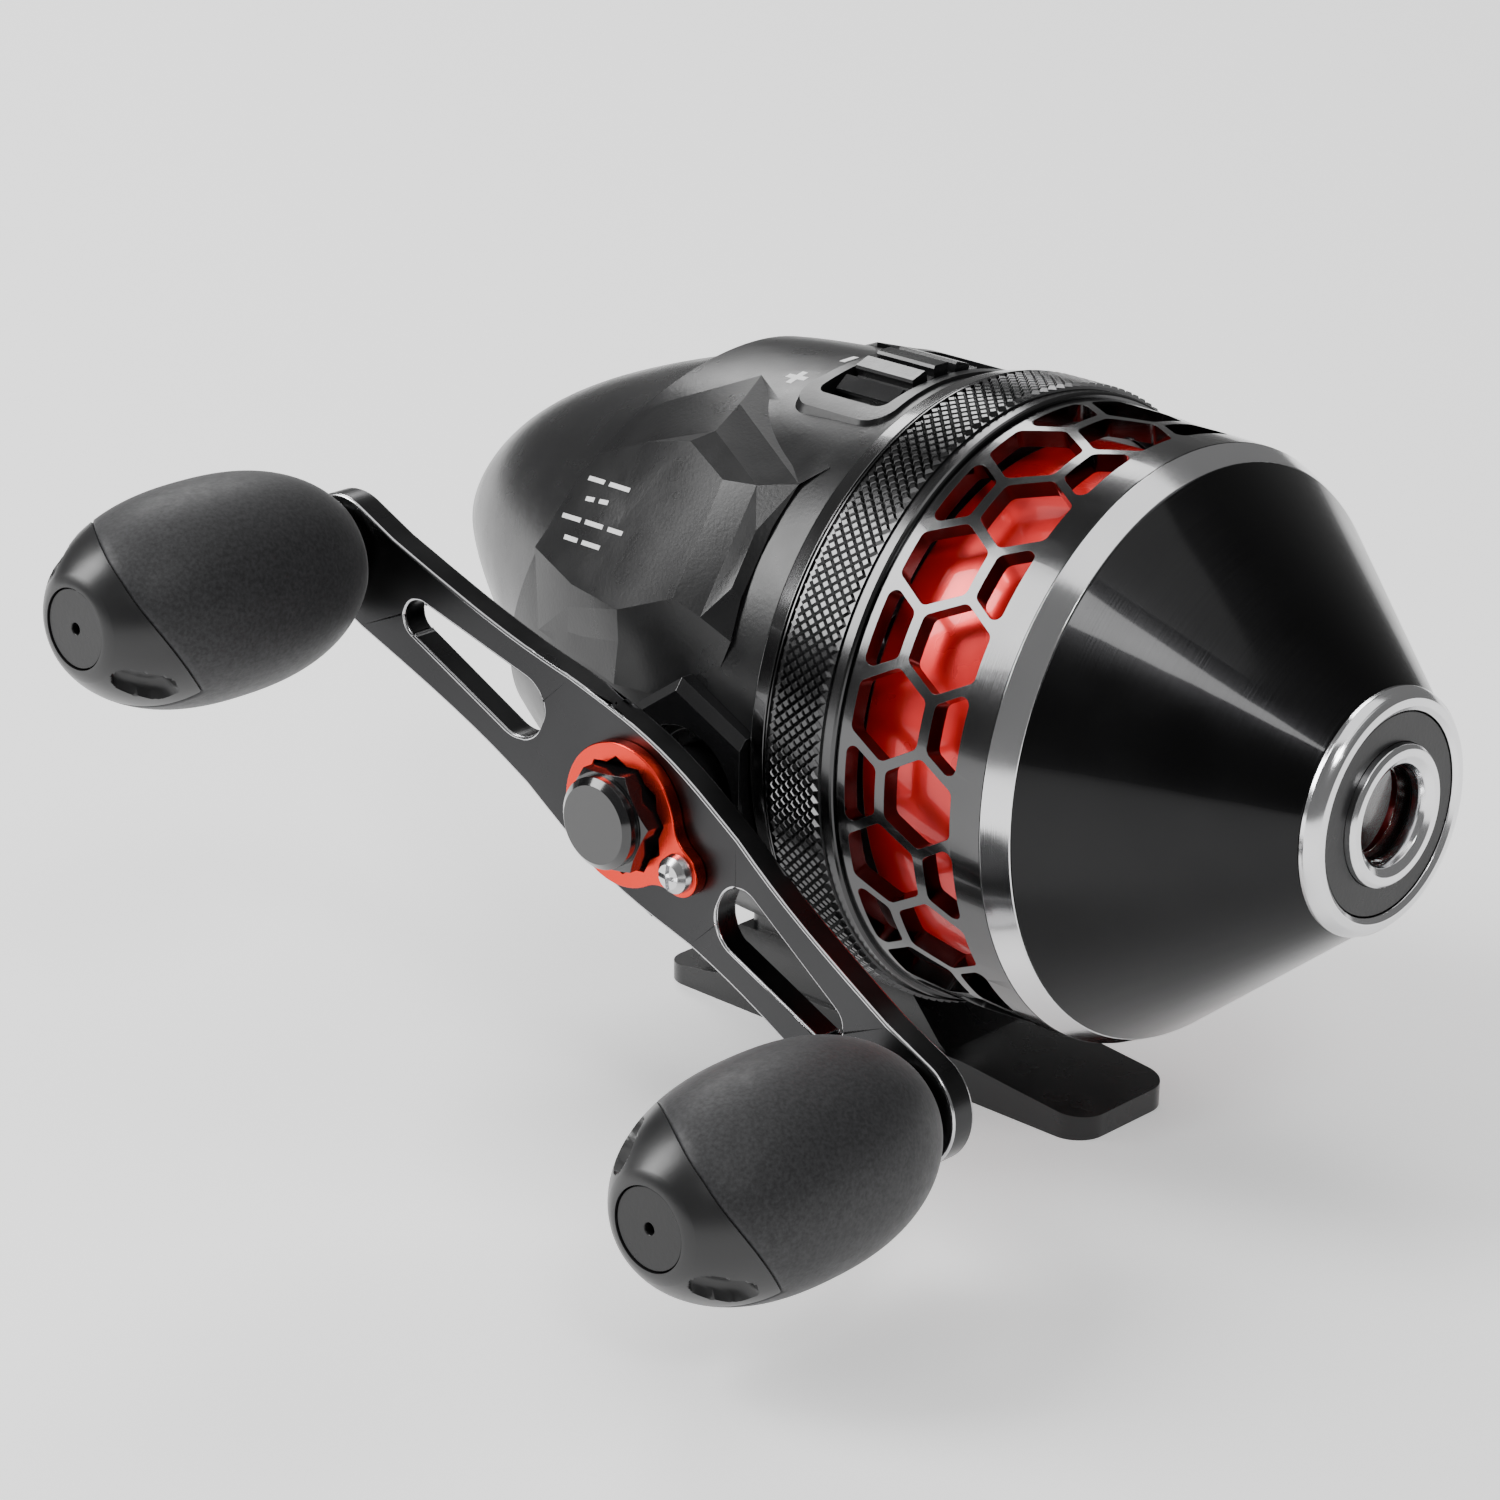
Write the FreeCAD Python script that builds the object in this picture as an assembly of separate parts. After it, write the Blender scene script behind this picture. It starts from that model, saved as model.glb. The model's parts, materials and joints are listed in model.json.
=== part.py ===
"""Spincast fishing reel, modelled as separate pieces that fit and move together.

Frame: +Z up, the nose points to -Y and the crank is on the -X side.
The origin is the middle of the flat underside of the reel foot. Millimetres.
"""
import FreeCAD, Part
import math
import os

from FreeCAD import Vector

# ---- driving dimensions ------------------------------------------------------
AXIS_Z = 43.5                 # height of the reel axis above the foot seat
RUN_FIT = 0.05                # radial clearance of running fits
SHELL_GAP = 0.45              # clearance between housing and thumb button

# housing: rows of (y, half width, top z, bottom z) of its oval sections
HOUSING_ROWS = [(-8.0, 31.2, 74.7, 12.3), (6.0, 31.1, 74.6, 12.4), (16.7, 30.4, 74.0, 13.4),
                (25.0, 28.6, 73.2, 15.4), (33.0, 26.0, 71.4, 18.6), (41.0, 22.6, 68.6, 23.0),
                (50.0, 18.0, 64.6, 29.4)]
BUTTON_ROWS = [(22.0, 27.4, 71.6, 16.4), (33.0, 24.0, 69.4, 20.6), (41.0, 20.4, 66.6, 25.4),
               (49.0, 16.2, 63.0, 31.2), (55.0, 12.2, 59.2, 35.8), (60.0, 8.0, 54.4, 39.6),
               (63.4, 4.2, 49.6, 42.2), (65.0, 1.2, 46.6, 44.2)]
HOUSING_FRONT = -7.6
HOUSING_WALL = 2.2
COLLAR_BACK = -5.0
COLLAR_SEAT_R = 30.6
SEAM_Y = 26.0                 # seam of the button where it meets the top, at SEAM_Z
SEAM_Z = 70.0
SEAM_LEAN = 0.4               # the seam runs back by this much per mm going down

# front cover
RING_BACK = -8.0
KNURL_FRONT = -15.1          # the ring ends in a plain shoulder in front of its knurled band
RING_FRONT = -16.6
RING_R = 33.0
SKIRT_FRONT = -34.6
SKIRT_R_BACK = 31.8
SKIRT_R_FRONT = 31.2
BRIGHT_FRONT = -37.4
BRIGHT_R = 29.9
CONE_FRONT = -58.6
CONE_R = 12.6
COVER_WALL = 1.3
NOSE_FRONT = -60.6
GUIDE_FRONT = -61.2
GUIDE_R = 7.3
LINE_BORE_R = 5.0

# honeycomb windows of the skirt
HEX_FLATS = 8.2
HEX_PITCH = 14.4              # degrees between neighbouring columns
HEX_COLUMNS = 24
HEX_START = 86.8              # angle of column 0, from -X towards +Z
HEX_ROWS = [(-26.9, -17.5), (-22.1, -31.5)]   # (whole, half) window centres of two neighbour columns
HALF_TRIM = 0.3               # a half window ends this far inside its hexagon's widest line
WINDOW_ROUND = 0.9

# crank and gears
CRANK_Y = 2.95
CRANK_Z = 37.07
CRANK_R = 3.0
ARM_INNER_X = -37.6
ARM_THICK = 3.0
ARM_FACE_X = ARM_INNER_X - ARM_THICK
ARM_RISE = 2.4                # the arm's ends stand this much further out
ARM_ANGLE = 25.0              # from +Y towards +Z
ARM_REACH = 43.8              # crank axis to knob axis
ARM_HUB_R = 8.7               # half width at the crank axis
ARM_NECK_R = 5.95             # half width near the ends
ARM_SWELL = 15.5              # how far the wide hub reaches
KEEPER_REACH = 9.05           # crank axis to the keeper screw
KEEPER_THICK = 1.48
NUT_END_X = -45.8
GEAR_TEETH = 36
PINION_TEETH = 9
GEAR_R = 13.9
DECK_BACK = -11.6
DECK_FRONT = -14.6
HUB_R = 6.5
HUB_FRONT = -27.0
SHAFT_R = 1.5
SHAFT_FLAT = 1.2

# knobs
KNOB_BASE_X = -43.6
KNOB_END_X = -78.3
KNOB_R = 11.3

# spinner head
CUP_R = 27.6
CUP_WALL = 1.6
PIN_Y = -25.4                 # pickup pin
PIN_R = 1.0

# thumb button pivot and the stroke that it gives the shaft
PIVOT_Y = 28.0
PIVOT_Z = 62.5
PIVOT_R = 1.2
PAD_BACK = 36.0

# drag wheel
WHEEL_R = 11.2
WHEEL_Z = 65.1
WHEEL_BACK = 6.4
WHEEL_FRONT = -1.4
WHEEL_RIBS = 20

# foot
FOOT_FRONT = -30.3
FOOT_BACK = 30.2
FOOT_WIDTH = 15.2
FOOT_SCREW_Y = (4.6, 14.6)

X_AXIS = Vector(1, 0, 0)
Y_AXIS = Vector(0, 1, 0)
Z_AXIS = Vector(0, 0, 1)


# ---- helpers -----------------------------------------------------------------
def save(shape, name):
    """Write one sub-part."""
    shape.exportStep("parts/%s.step" % name)


def box(x0, x1, y0, y1, z0, z1):
    return Part.makeBox(x1 - x0, y1 - y0, z1 - z0, Vector(x0, y0, z0))


def rod_y(radius, y0, y1, x=0.0, z=AXIS_Z):
    """A round bar along Y."""
    return Part.makeCylinder(radius, abs(y1 - y0), Vector(x, min(y0, y1), z), Y_AXIS)


def rod_x(radius, x0, x1, y=CRANK_Y, z=CRANK_Z):
    """A round bar along X."""
    return Part.makeCylinder(radius, abs(x1 - x0), Vector(min(x0, x1), y, z), X_AXIS)


def tube_y(outer, inner, y0, y1, x=0.0, z=AXIS_Z):
    low = min(y0, y1)
    high = max(y0, y1)
    return rod_y(outer, low, high, x, z).cut(rod_y(inner, low - 1, high + 1, x, z))


def tube_x(outer, inner, x0, x1, y=CRANK_Y, z=CRANK_Z):
    low = min(x0, x1)
    high = max(x0, x1)
    return rod_x(outer, low, high, y, z).cut(rod_x(inner, low - 1, high + 1, y, z))


def turned_y(points):
    """Solid turned about the reel axis from (radius, y) points."""
    corners = [Vector(r, y, AXIS_Z) for r, y in points]
    face = Part.Face(Part.makePolygon(corners + corners[:1]))
    return face.revolve(Vector(0, 0, AXIS_Z), Y_AXIS, 360)


def turned_x(points, y, z):
    """Solid turned about a line along X through (y, z), from (x, radius) points."""
    corners = [Vector(x, y + r, z) for x, r in points]
    face = Part.Face(Part.makePolygon(corners + corners[:1]))
    return face.revolve(Vector(0, y, z), X_AXIS, 360)


def prism(corners, direction):
    """Polygon swept along a direction."""
    return Part.Face(Part.makePolygon(corners + corners[:1])).extrude(direction)


def oval_loft(rows, inset=0.0):
    """Smooth solid through upright oval sections, all of them drawn in by inset."""
    wires = []
    for y, half_width, top, bottom in rows:
        half_height = (top - bottom) / 2 - inset
        width = half_width - inset
        middle = Vector(0, y, (top + bottom) / 2)
        if half_height >= width:
            major = middle + Vector(0, 0, half_height)
            minor = middle + Vector(width, 0, 0)
        else:
            major = middle + Vector(width, 0, 0)
            minor = middle + Vector(0, 0, half_height)
        if abs(half_height - width) < 0.02:
            edge = Part.Circle(middle, Y_AXIS, width).toShape()
        else:
            edge = Part.Ellipse(major, minor, middle).toShape()
        wires.append(Part.Wire(edge))
    return Part.makeLoft(wires, True, False)


def behind_seam(offset):
    """Everything behind the leaning seam plane moved by offset along Y."""
    top = 100.0
    bottom = -20.0
    top_y = SEAM_Y + offset + (SEAM_Z - top) * SEAM_LEAN
    bottom_y = SEAM_Y + offset + (SEAM_Z - bottom) * SEAM_LEAN
    corners = [Vector(-50, top_y, top), Vector(-50, 120, top),
               Vector(-50, 120, bottom), Vector(-50, bottom_y, bottom)]
    return prism(corners, Vector(100, 0, 0))


def spring(radius, wire, turns, length, start, axis):
    """Round-wire coil spring."""
    helix = Part.makeHelix(length / turns, length, radius)
    loop = Part.Wire(Part.Circle(Vector(radius, 0, 0), Y_AXIS, wire).toShape())
    coil = Part.Wire(helix).makePipeShell([loop], True, True)
    coil.rotate(Vector(0, 0, 0), Z_AXIS.cross(axis), 90)
    coil.translate(start)
    return coil


# ---- housing -----------------------------------------------------------------
def cheek(side):
    """Faceted raised panel of one cheek, a closed polyhedron reaching into the housing.

    Corners are (distance from the middle plane, y, z); side is -1 or +1.
    """
    points = {
        "crease_top": (20.6, 14.3, 68.9), "crease_low": (31.0, 14.4, 53.2),
        "strip_top": (22.8, 7.6, 66.8), "strip_low": (30.6, 6.9, 56.2),
        "face_top": (22.1, 3.6, 67.0), "face_low": (30.3, 3.4, 55.0),
        "nose_top": (25.2, 0.7, 63.6), "nose_low": (28.5, 0.8, 58.3),
        "peak": (18.8, 12.5, 70.0), "groove_top": (14.4, 13.3, 71.8),
        "brow_front": (9.0, 15.3, 73.3), "cheekbone": (17.8, -2.4, 69.3),
        "rim_top": (20.4, -0.6, 67.7), "rim_mid": (24.0, -0.4, 63.9),
        "rim_nose": (28.3, -0.3, 57.4), "rim_low": (29.9, -0.5, 53.3),
        "heel": (30.9, 14.3, 49.7), "chin": (31.4, 14.4, 45.2), "chin_front": (30.9, 2.0, 46.0),
        "mid_top": (20.0, 21.2, 67.1), "mid_low": (28.8, 23.2, 53.2), "mid_heel": (29.3, 23.2, 50.9),
        "back_top": (19.8, 28.8, 63.9), "back_low": (25.2, 32.3, 54.2), "back_chin": (27.3, 29.6, 46.2),
        "crescent": (19.0, 21.4, 67.7), "brow_back": (14.6, 23.4, 69.9), "brow_tail": (15.4, 26.9, 68.1),
    }
    corner = {name: Vector(side * x, y, z) for name, (x, y, z) in points.items()}
    core = Vector(side * 8.0, 14.0, 48.0)
    faces = [
        ("crease_top", "mid_top", "mid_low", "crease_low"), ("mid_top", "back_top", "back_low", "mid_low"),
        ("strip_top", "crease_top", "crease_low", "strip_low"),
        ("face_top", "strip_top", "strip_low", "face_low"),
        ("nose_top", "face_top", "face_low", "nose_low"),
        ("peak", "crease_top", "strip_top", "face_top"), ("groove_top", "peak", "face_top", "rim_top"),
        ("brow_front", "groove_top", "rim_top", "cheekbone"), ("brow_front", "brow_back", "groove_top"),
        ("rim_top", "face_top", "nose_top", "rim_mid"), ("rim_mid", "nose_top", "nose_low", "rim_nose"),
        ("rim_nose", "nose_low", "face_low", "rim_low"), ("strip_low", "crease_low", "heel", "face_low"),
        ("face_low", "heel", "chin", "rim_low"), ("rim_low", "chin", "chin_front"),
        ("crease_low", "mid_low", "mid_heel", "heel"), ("mid_low", "back_low", "mid_heel"),
        ("heel", "mid_heel", "back_chin", "chin"), ("mid_heel", "back_low", "back_chin"),
        ("peak", "crescent", "mid_top", "crease_top"), ("crescent", "back_top", "mid_top"),
        ("groove_top", "brow_back", "crescent", "peak"), ("brow_back", "brow_tail", "back_top", "crescent"),
    ]
    triangles = []
    for loop in faces:
        for index in range(1, len(loop) - 1):
            triangles.append((loop[0], loop[index], loop[index + 1]))
    directed = set()
    for a, b, c in triangles:
        directed.update([(a, b), (b, c), (c, a)])
    skins = [[corner[name] for name in triangle] for triangle in triangles]
    for a, b in sorted(directed):
        if (b, a) not in directed:
            skins.append([corner[b], corner[a], core])
    shell = Part.Shell([Part.Face(Part.makePolygon(skin + skin[:1])) for skin in skins])
    solid = Part.Solid(shell)
    if solid.Volume < 0:
        solid.reverse()
    return solid


def slot_outline(reach, margin, corner, z):
    """Rounded rectangle around the drag wheel, level at height z."""
    outline = box(-reach, reach, WHEEL_FRONT - margin, WHEEL_BACK + margin, z, z + 1)
    upright = [edge for edge in outline.Edges if edge.BoundBox.ZLength > 0.5]
    outline = outline.makeFillet(corner, upright)
    floor = [face for face in outline.Faces if face.BoundBox.ZMax < z + 0.01]
    return floor[0].OuterWire


def slot_opening(reach, margin, corner, z, height):
    """Upright cutter with the outline of the drag wheel's slot."""
    return Part.Face(slot_outline(reach, margin, corner, z)).extrude(Vector(0, 0, height))


def slot_rim():
    """Soft raised lip around the drag wheel's slot, following the round top of the housing."""
    wide = slot_outline(13.4, 3.4, 3.6, 70.0)
    narrow = slot_outline(10.6, 1.3, 2.0, 76.5)
    lip = Part.makeLoft([wide, narrow], True, True)
    return lip.common(rod_y(31.75, -10, 20)).cut(rod_y(29.6, -10, 20))


def deck_screw_places():
    """Places (x, z) of the three deck screws."""
    places = []
    for angle in (30, 150, 270):
        turn = math.radians(angle)
        places.append((25.0 * math.cos(turn), AXIS_Z + 25.0 * math.sin(turn)))
    return places


def housing():
    """One moulding: round front, two faceted cheeks, a drag wheel slot and a rear opening."""
    body = oval_loft(HOUSING_ROWS)
    for side in (-1, 1):
        body = body.fuse(cheek(side))
    body = body.cut(behind_seam(0.0))
    body = body.cut(box(-50, 50, -30, HOUSING_FRONT, -20, 100))
    cavity = oval_loft(HOUSING_ROWS, HOUSING_WALL).common(box(-50, 50, -3.0, 70, -20, 100))
    rear_room = oval_loft(BUTTON_ROWS, -SHELL_GAP).common(behind_seam(-9.0))
    body = body.cut(cavity)
    body = body.cut(rear_room)
    body = body.cut(rod_y(27.6, -2.5, -15.2))
    body = body.fuse(tube_y(29.9, 27.6, -5.0, DECK_FRONT - 0.6))
    body = body.cut(rod_y(28.75, DECK_BACK, -16.0))
    body = body.fuse(rod_x(9.0, -30.4, -19.6)).fuse(rod_x(7.0, 19.0, 29.0))
    for x, z in deck_screw_places():
        body = body.fuse(rod_y(3.4, DECK_BACK, -4.0, x, z)).cut(rod_y(1.26, -20, -5.0, x, z))
    body = body.fuse(box(-7, 7, -4, 21, 12.6, 19.0))
    body = body.cut(rod_x(7.05, -40.0, -19.0))
    body = body.cut(rod_x(4.55, 18.0, 25.6))
    body = body.fuse(slot_rim()).cut(slot_opening(9.8, 0.6, 1.2, 60, 60))
    body = body.cut(rod_y(WHEEL_R + 0.5, WHEEL_FRONT - 0.6, WHEEL_BACK + 0.6, 0, WHEEL_Z))
    for y in FOOT_SCREW_Y:
        body = body.cut(Part.makeCylinder(1.52, 20, Vector(0, y, 0), Z_AXIS))
    body = body.cut(box(-5.1, 5.1, -5.1, 20.1, 0, 14.6))
    return body.cut(tube_y(40, COLLAR_SEAT_R, COLLAR_BACK, -20)).removeSplitter()


def collar_ring():
    """Glossy bevelled collar between the housing and the knurled ring."""
    inner = COLLAR_SEAT_R + 0.02
    back = COLLAR_BACK - 0.02
    return turned_y([(inner, back), (31.6, back), (32.4, back - 0.7), (32.7, -7.7), (inner, -7.7)])


def crank_boss():
    """Six-sided glossy escutcheon around the crank bearing."""
    radius = 11.9
    corners = []
    for step in range(6):
        angle = math.radians(ARM_ANGLE + 60 * step)
        corners.append(Vector(-27.0, CRANK_Y + radius * math.cos(angle), CRANK_Z + radius * math.sin(angle)))
    plate = prism(corners, Vector(-6.2, 0, 0))
    edges = [edge for edge in plate.Edges if abs(edge.BoundBox.XMax + 33.2) < 0.01
             and edge.BoundBox.XLength < 0.01]
    plate = plate.makeChamfer(1.0, edges)
    plate = plate.cut(oval_loft(HOUSING_ROWS, -0.02))
    plate = plate.cut(cheek(-1))
    plate = plate.cut(box(-40, -20, -20, -5.0, 0, 80)).cut(rod_x(9.02, -30.42, -10))
    return plate.cut(rod_x(7.1, -40, -20)).removeSplitter()


def foot():
    """Reel foot with its stem; its flat underside sits on the rod's reel seat."""
    half = FOOT_WIDTH / 2
    side = [Vector(-half, FOOT_FRONT, 0), Vector(-half, FOOT_BACK, 0),
            Vector(-half, FOOT_BACK, 1.9), Vector(-half, 14, 4.2),
            Vector(-half, -14, 4.2), Vector(-half, FOOT_FRONT, 2.6)]
    plate = prism(side, Vector(FOOT_WIDTH, 0, 0))
    upright = [edge for edge in plate.Edges if edge.BoundBox.ZLength > 1.5 and edge.BoundBox.XLength < 0.01
               and edge.BoundBox.YLength < 0.01]
    plate = plate.makeFillet(3.4, upright)
    stem = box(-5.0, 5.0, -5.0, 20.0, 3.0, 14.4)
    corner_edges = [edge for edge in stem.Edges if edge.BoundBox.ZLength > 5]
    stem = stem.makeFillet(2.4, corner_edges)
    flare = prism([Vector(-7.0, -12, 3.6), Vector(-7.0, 25, 3.6), Vector(-7.0, 20, 9.0), Vector(-7.0, -5, 9.0)],
                  Vector(14.0, 0, 0))
    side_trim = prism([Vector(-7.6, -20, 3.0), Vector(-7.6, -20, 12), Vector(-4.9, -20, 12)], Vector(0, 60, 0))
    flare = flare.cut(side_trim).cut(side_trim.mirror(Vector(0, 0, 0), X_AXIS))
    body = plate.fuse(stem).fuse(flare)
    for y in FOOT_SCREW_Y:
        body = body.cut(Part.makeCylinder(1.55, 30, Vector(0, y, -5), Z_AXIS))
        body = body.cut(Part.makeCylinder(3.1, 3.0, Vector(0, y, -0.4), Z_AXIS))
    return body.removeSplitter()


def foot_screws():
    """Two countersunk screws that hold the foot to the housing's floor."""
    screws = []
    for y in FOOT_SCREW_Y:
        shank = Part.makeCylinder(1.5, 15.6, Vector(0, y, 2.0), Z_AXIS)
        head = Part.makeCylinder(2.9, 1.7, Vector(0, y, 0.8), Z_AXIS)
        slot = box(-2.2, 2.2, y - 0.35, y + 0.35, 0, 1.5)
        cross = box(-0.35, 0.35, y - 2.2, y + 2.2, 0, 1.5)
        screws.append(shank.fuse(head).cut(slot).cut(cross))
    return Part.makeCompound(screws)


# ---- frame inside ------------------------------------------------------------
def deck_plate():
    """Metal deck with the hub that carries the spool outside and the pinion inside."""
    plate = rod_y(28.7, DECK_BACK, DECK_FRONT)
    hub = rod_y(HUB_R, DECK_BACK, HUB_FRONT)
    body = plate.fuse(hub)
    body = body.cut(rod_y(3.7, DECK_BACK + 1, HUB_FRONT - 1))
    body = body.cut(rod_y(5.02, DECK_BACK + 1, DECK_BACK - 4.0))
    body = body.cut(rod_y(5.02, HUB_FRONT + 4.0, HUB_FRONT - 1))
    body = body.cut(box(-2.7, 2.7, DECK_FRONT - 1, DECK_BACK + 1, WHEEL_Z - 2.7, WHEEL_Z + 2.7))
    for x, z in deck_screw_places():
        body = body.cut(rod_y(1.3, DECK_FRONT - 1, DECK_BACK + 1, x, z))
    return body.removeSplitter()


def deck_screws():
    """Three screws at the edge of the deck."""
    screws = []
    for x, z in deck_screw_places():
        shank = rod_y(1.25, DECK_FRONT, -6.0, x, z)
        head = rod_y(2.2, DECK_FRONT - 0.9, DECK_FRONT, x, z)
        screws.append(shank.fuse(head).cut(box(x - 1.6, x + 1.6, -20, DECK_FRONT - 0.5, z - 0.3, z + 0.3)))
    return Part.makeCompound(screws)


def ball_bearing(outer, inner, thickness, base, axis):
    """Shielded ball bearing as one closed ring with its races showing on both faces."""
    ring = Part.makeCylinder(outer, thickness, base, axis)
    ring = ring.cut(Part.makeCylinder(inner, thickness * 3, base - axis * thickness, axis))
    for shift in (-thickness + 0.25, thickness - 0.25):
        groove = Part.makeCylinder(outer * 0.86, thickness, base + axis * shift, axis)
        groove = groove.cut(Part.makeCylinder(inner * 1.24, thickness * 3, base - axis * thickness, axis))
        ring = ring.cut(groove)
    return ring


def rear_bulkhead():
    """Upright plate behind the gear that guides the shaft and carries the button's pivot."""
    plate = oval_loft(HOUSING_ROWS, HOUSING_WALL + 0.03).common(box(-50, 50, 18.6, 21.4, -20, 100))
    plate = plate.cut(box(-50, 50, 10, 30, -20, 27))
    plate = plate.cut(rod_y(3.02, 10, 30))
    for side in (-1, 1):
        x0 = side * 15.5
        plate = plate.cut(rod_y(5.5, 10, 30, x0, AXIS_Z - 3))
        ear = box(8.2, 10.2, 20.0, PIVOT_Y + 2.4, PIVOT_Z - 2.4, PIVOT_Z + 2.0)
        if side < 0:
            ear = ear.mirror(Vector(0, 0, 0), X_AXIS)
        plate = plate.fuse(ear)
    return plate.cut(rod_x(PIVOT_R + 0.01, -20, 20, PIVOT_Y, PIVOT_Z)).removeSplitter()


def wheel_bracket():
    """Small hanger that carries the rear end of the drag wheel's spindle."""
    plate = box(-6, 6, WHEEL_BACK + 2.1, WHEEL_BACK + 4.1, 60.6, 78).common(oval_loft(HOUSING_ROWS, HOUSING_WALL + 0.03))
    return plate.cut(rod_y(1.56, 0, 14, 0, WHEEL_Z))


def one_way_clutch():
    """Roller clutch that stops the crank from turning backwards, with its rollers in one ring."""
    ring = tube_x(7.0, 4.4, -26.0, -20.4)
    for step in range(8):
        angle = math.radians(45 * step)
        y = CRANK_Y + 3.92 * math.cos(angle)
        z = CRANK_Z + 3.92 * math.sin(angle)
        ring = ring.fuse(rod_x(0.86, -25.6, -20.8, y, z))
    return ring


# ---- front cover -------------------------------------------------------------
def window_cutter(corners, angle, y):
    """Rounded prism over (around, along) corners, pointing outwards at one place of the skirt."""
    cutter = prism([Vector(u, v, 27.5) for u, v in corners], Vector(0, 0, 10))
    upright = [edge for edge in cutter.Edges if edge.BoundBox.ZLength > 9]
    cutter = cutter.makeFillet(WINDOW_ROUND, upright)
    cutter.rotate(Vector(0, 0, 0), Y_AXIS, angle - 90)
    cutter.translate(Vector(0, y, AXIS_Z))
    return cutter


def cover_skirt():
    """Turned sleeve with staggered honeycomb windows; its plain rear end carries the thread."""
    sleeve = turned_y([(31.0, -8.6), (31.0, RING_FRONT), (SKIRT_R_BACK, RING_FRONT - 0.05),
                       (SKIRT_R_FRONT, SKIRT_FRONT), (29.0, SKIRT_FRONT), (29.9, RING_FRONT - 2.0),
                       (29.95, RING_FRONT), (29.95, -8.6)])
    wide = HEX_FLATS / math.sqrt(3)
    high = HEX_FLATS / 2
    whole = [(wide, 0), (wide / 2, high), (-wide / 2, high), (-wide, 0), (-wide / 2, -high), (wide / 2, -high)]
    base = wide - HALF_TRIM * wide / 2 / high
    cutters = []
    for column in range(HEX_COLUMNS):
        angle = HEX_START - HEX_PITCH * (column - 12)
        whole_y, half_y = HEX_ROWS[column % 2]
        towards = 1 if half_y < whole_y else -1
        half = [(base, towards * HALF_TRIM), (wide / 2, towards * high),
                (-wide / 2, towards * high), (-base, towards * HALF_TRIM)]
        cutters.append(window_cutter(whole, angle, whole_y))
        cutters.append(window_cutter(half, angle, half_y))
    return sleeve.cut(Part.makeCompound(cutters)).removeSplitter()


def bright_ring():
    """Polished bevel between skirt and cone."""
    return turned_y([(SKIRT_R_FRONT, SKIRT_FRONT - 0.02), (BRIGHT_R, BRIGHT_FRONT), (28.4, BRIGHT_FRONT),
                     (28.4, SKIRT_FRONT - 0.02)])


def cover_cone():
    """Nose cone, with a step at its front that holds the nose rings."""
    inner_front = CONE_R - 2.2
    return turned_y([(BRIGHT_R, BRIGHT_FRONT - 0.02), (CONE_R, CONE_FRONT), (inner_front, CONE_FRONT),
                     (inner_front, CONE_FRONT + 1.4), (BRIGHT_R - 1.7, BRIGHT_FRONT - 0.02)])


def knurled_ring():
    """Grip ring around the rear of the skirt: a knurled band and a plain shoulder in front of it."""
    shoulder = RING_R - 0.6
    return turned_y([(31.02, RING_BACK), (RING_R - 0.4, RING_BACK), (RING_R, RING_BACK - 0.4),
                     (RING_R, KNURL_FRONT), (shoulder, KNURL_FRONT - 0.3), (shoulder, RING_FRONT + 0.3),
                     (shoulder - 0.3, RING_FRONT), (31.02, RING_FRONT)])


def nose_bezel():
    """Bright ring with a rounded front edge around the nose."""
    return turned_y([(10.45, -56.6), (10.45, -60.2), (11.0, NOSE_FRONT), (11.8, -60.5), (12.4, -59.9),
                     (12.7, -59.2), (12.62, CONE_FRONT - 0.02), (10.7, CONE_FRONT - 0.02), (10.35, -57.2),
                     (10.35, -56.6)])


def nose_insert():
    """Flat black ring between the bezel and the line guide."""
    return turned_y([(GUIDE_R + 0.02, -56.6), (10.33, -56.6), (10.33, -60.1), (GUIDE_R + 0.02, -60.1)])


def line_guide():
    """Hard polished ring that the line runs over, flared at its rear."""
    return turned_y([(GUIDE_R, -56.0), (GUIDE_R, -60.8), (6.9, GUIDE_FRONT), (6.1, GUIDE_FRONT),
                     (5.3, -60.7), (LINE_BORE_R, -59.9), (LINE_BORE_R, -57.4), (5.6, -56.3), (6.3, -56.0)])


# ---- crank -------------------------------------------------------------------
def arm_point(along, across, x):
    """Point of the crank arm from its own directions."""
    c = math.cos(math.radians(ARM_ANGLE))
    s = math.sin(math.radians(ARM_ANGLE))
    return Vector(x, CRANK_Y + along * c - across * s, CRANK_Z + along * s + across * c)


def crankshaft():
    """Main shaft: bearing length, flats for the arm and a threaded end for the nut."""
    shaft = rod_x(CRANK_R, ARM_INNER_X + 0.05, 24.0)
    flats = rod_x(CRANK_R, ARM_FACE_X + 0.1, ARM_INNER_X + 0.1).common(
        box(-45, -30, CRANK_Y - 2.4, CRANK_Y + 2.4, CRANK_Z - 5, CRANK_Z + 5))
    thread = rod_x(2.4, ARM_FACE_X - 2.9, ARM_FACE_X + 0.5)
    shaft = shaft.fuse(flats).fuse(thread)
    groove = tube_x(4.0, 2.4, -11.9, -11.1)
    return shaft.cut(groove).removeSplitter()


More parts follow.
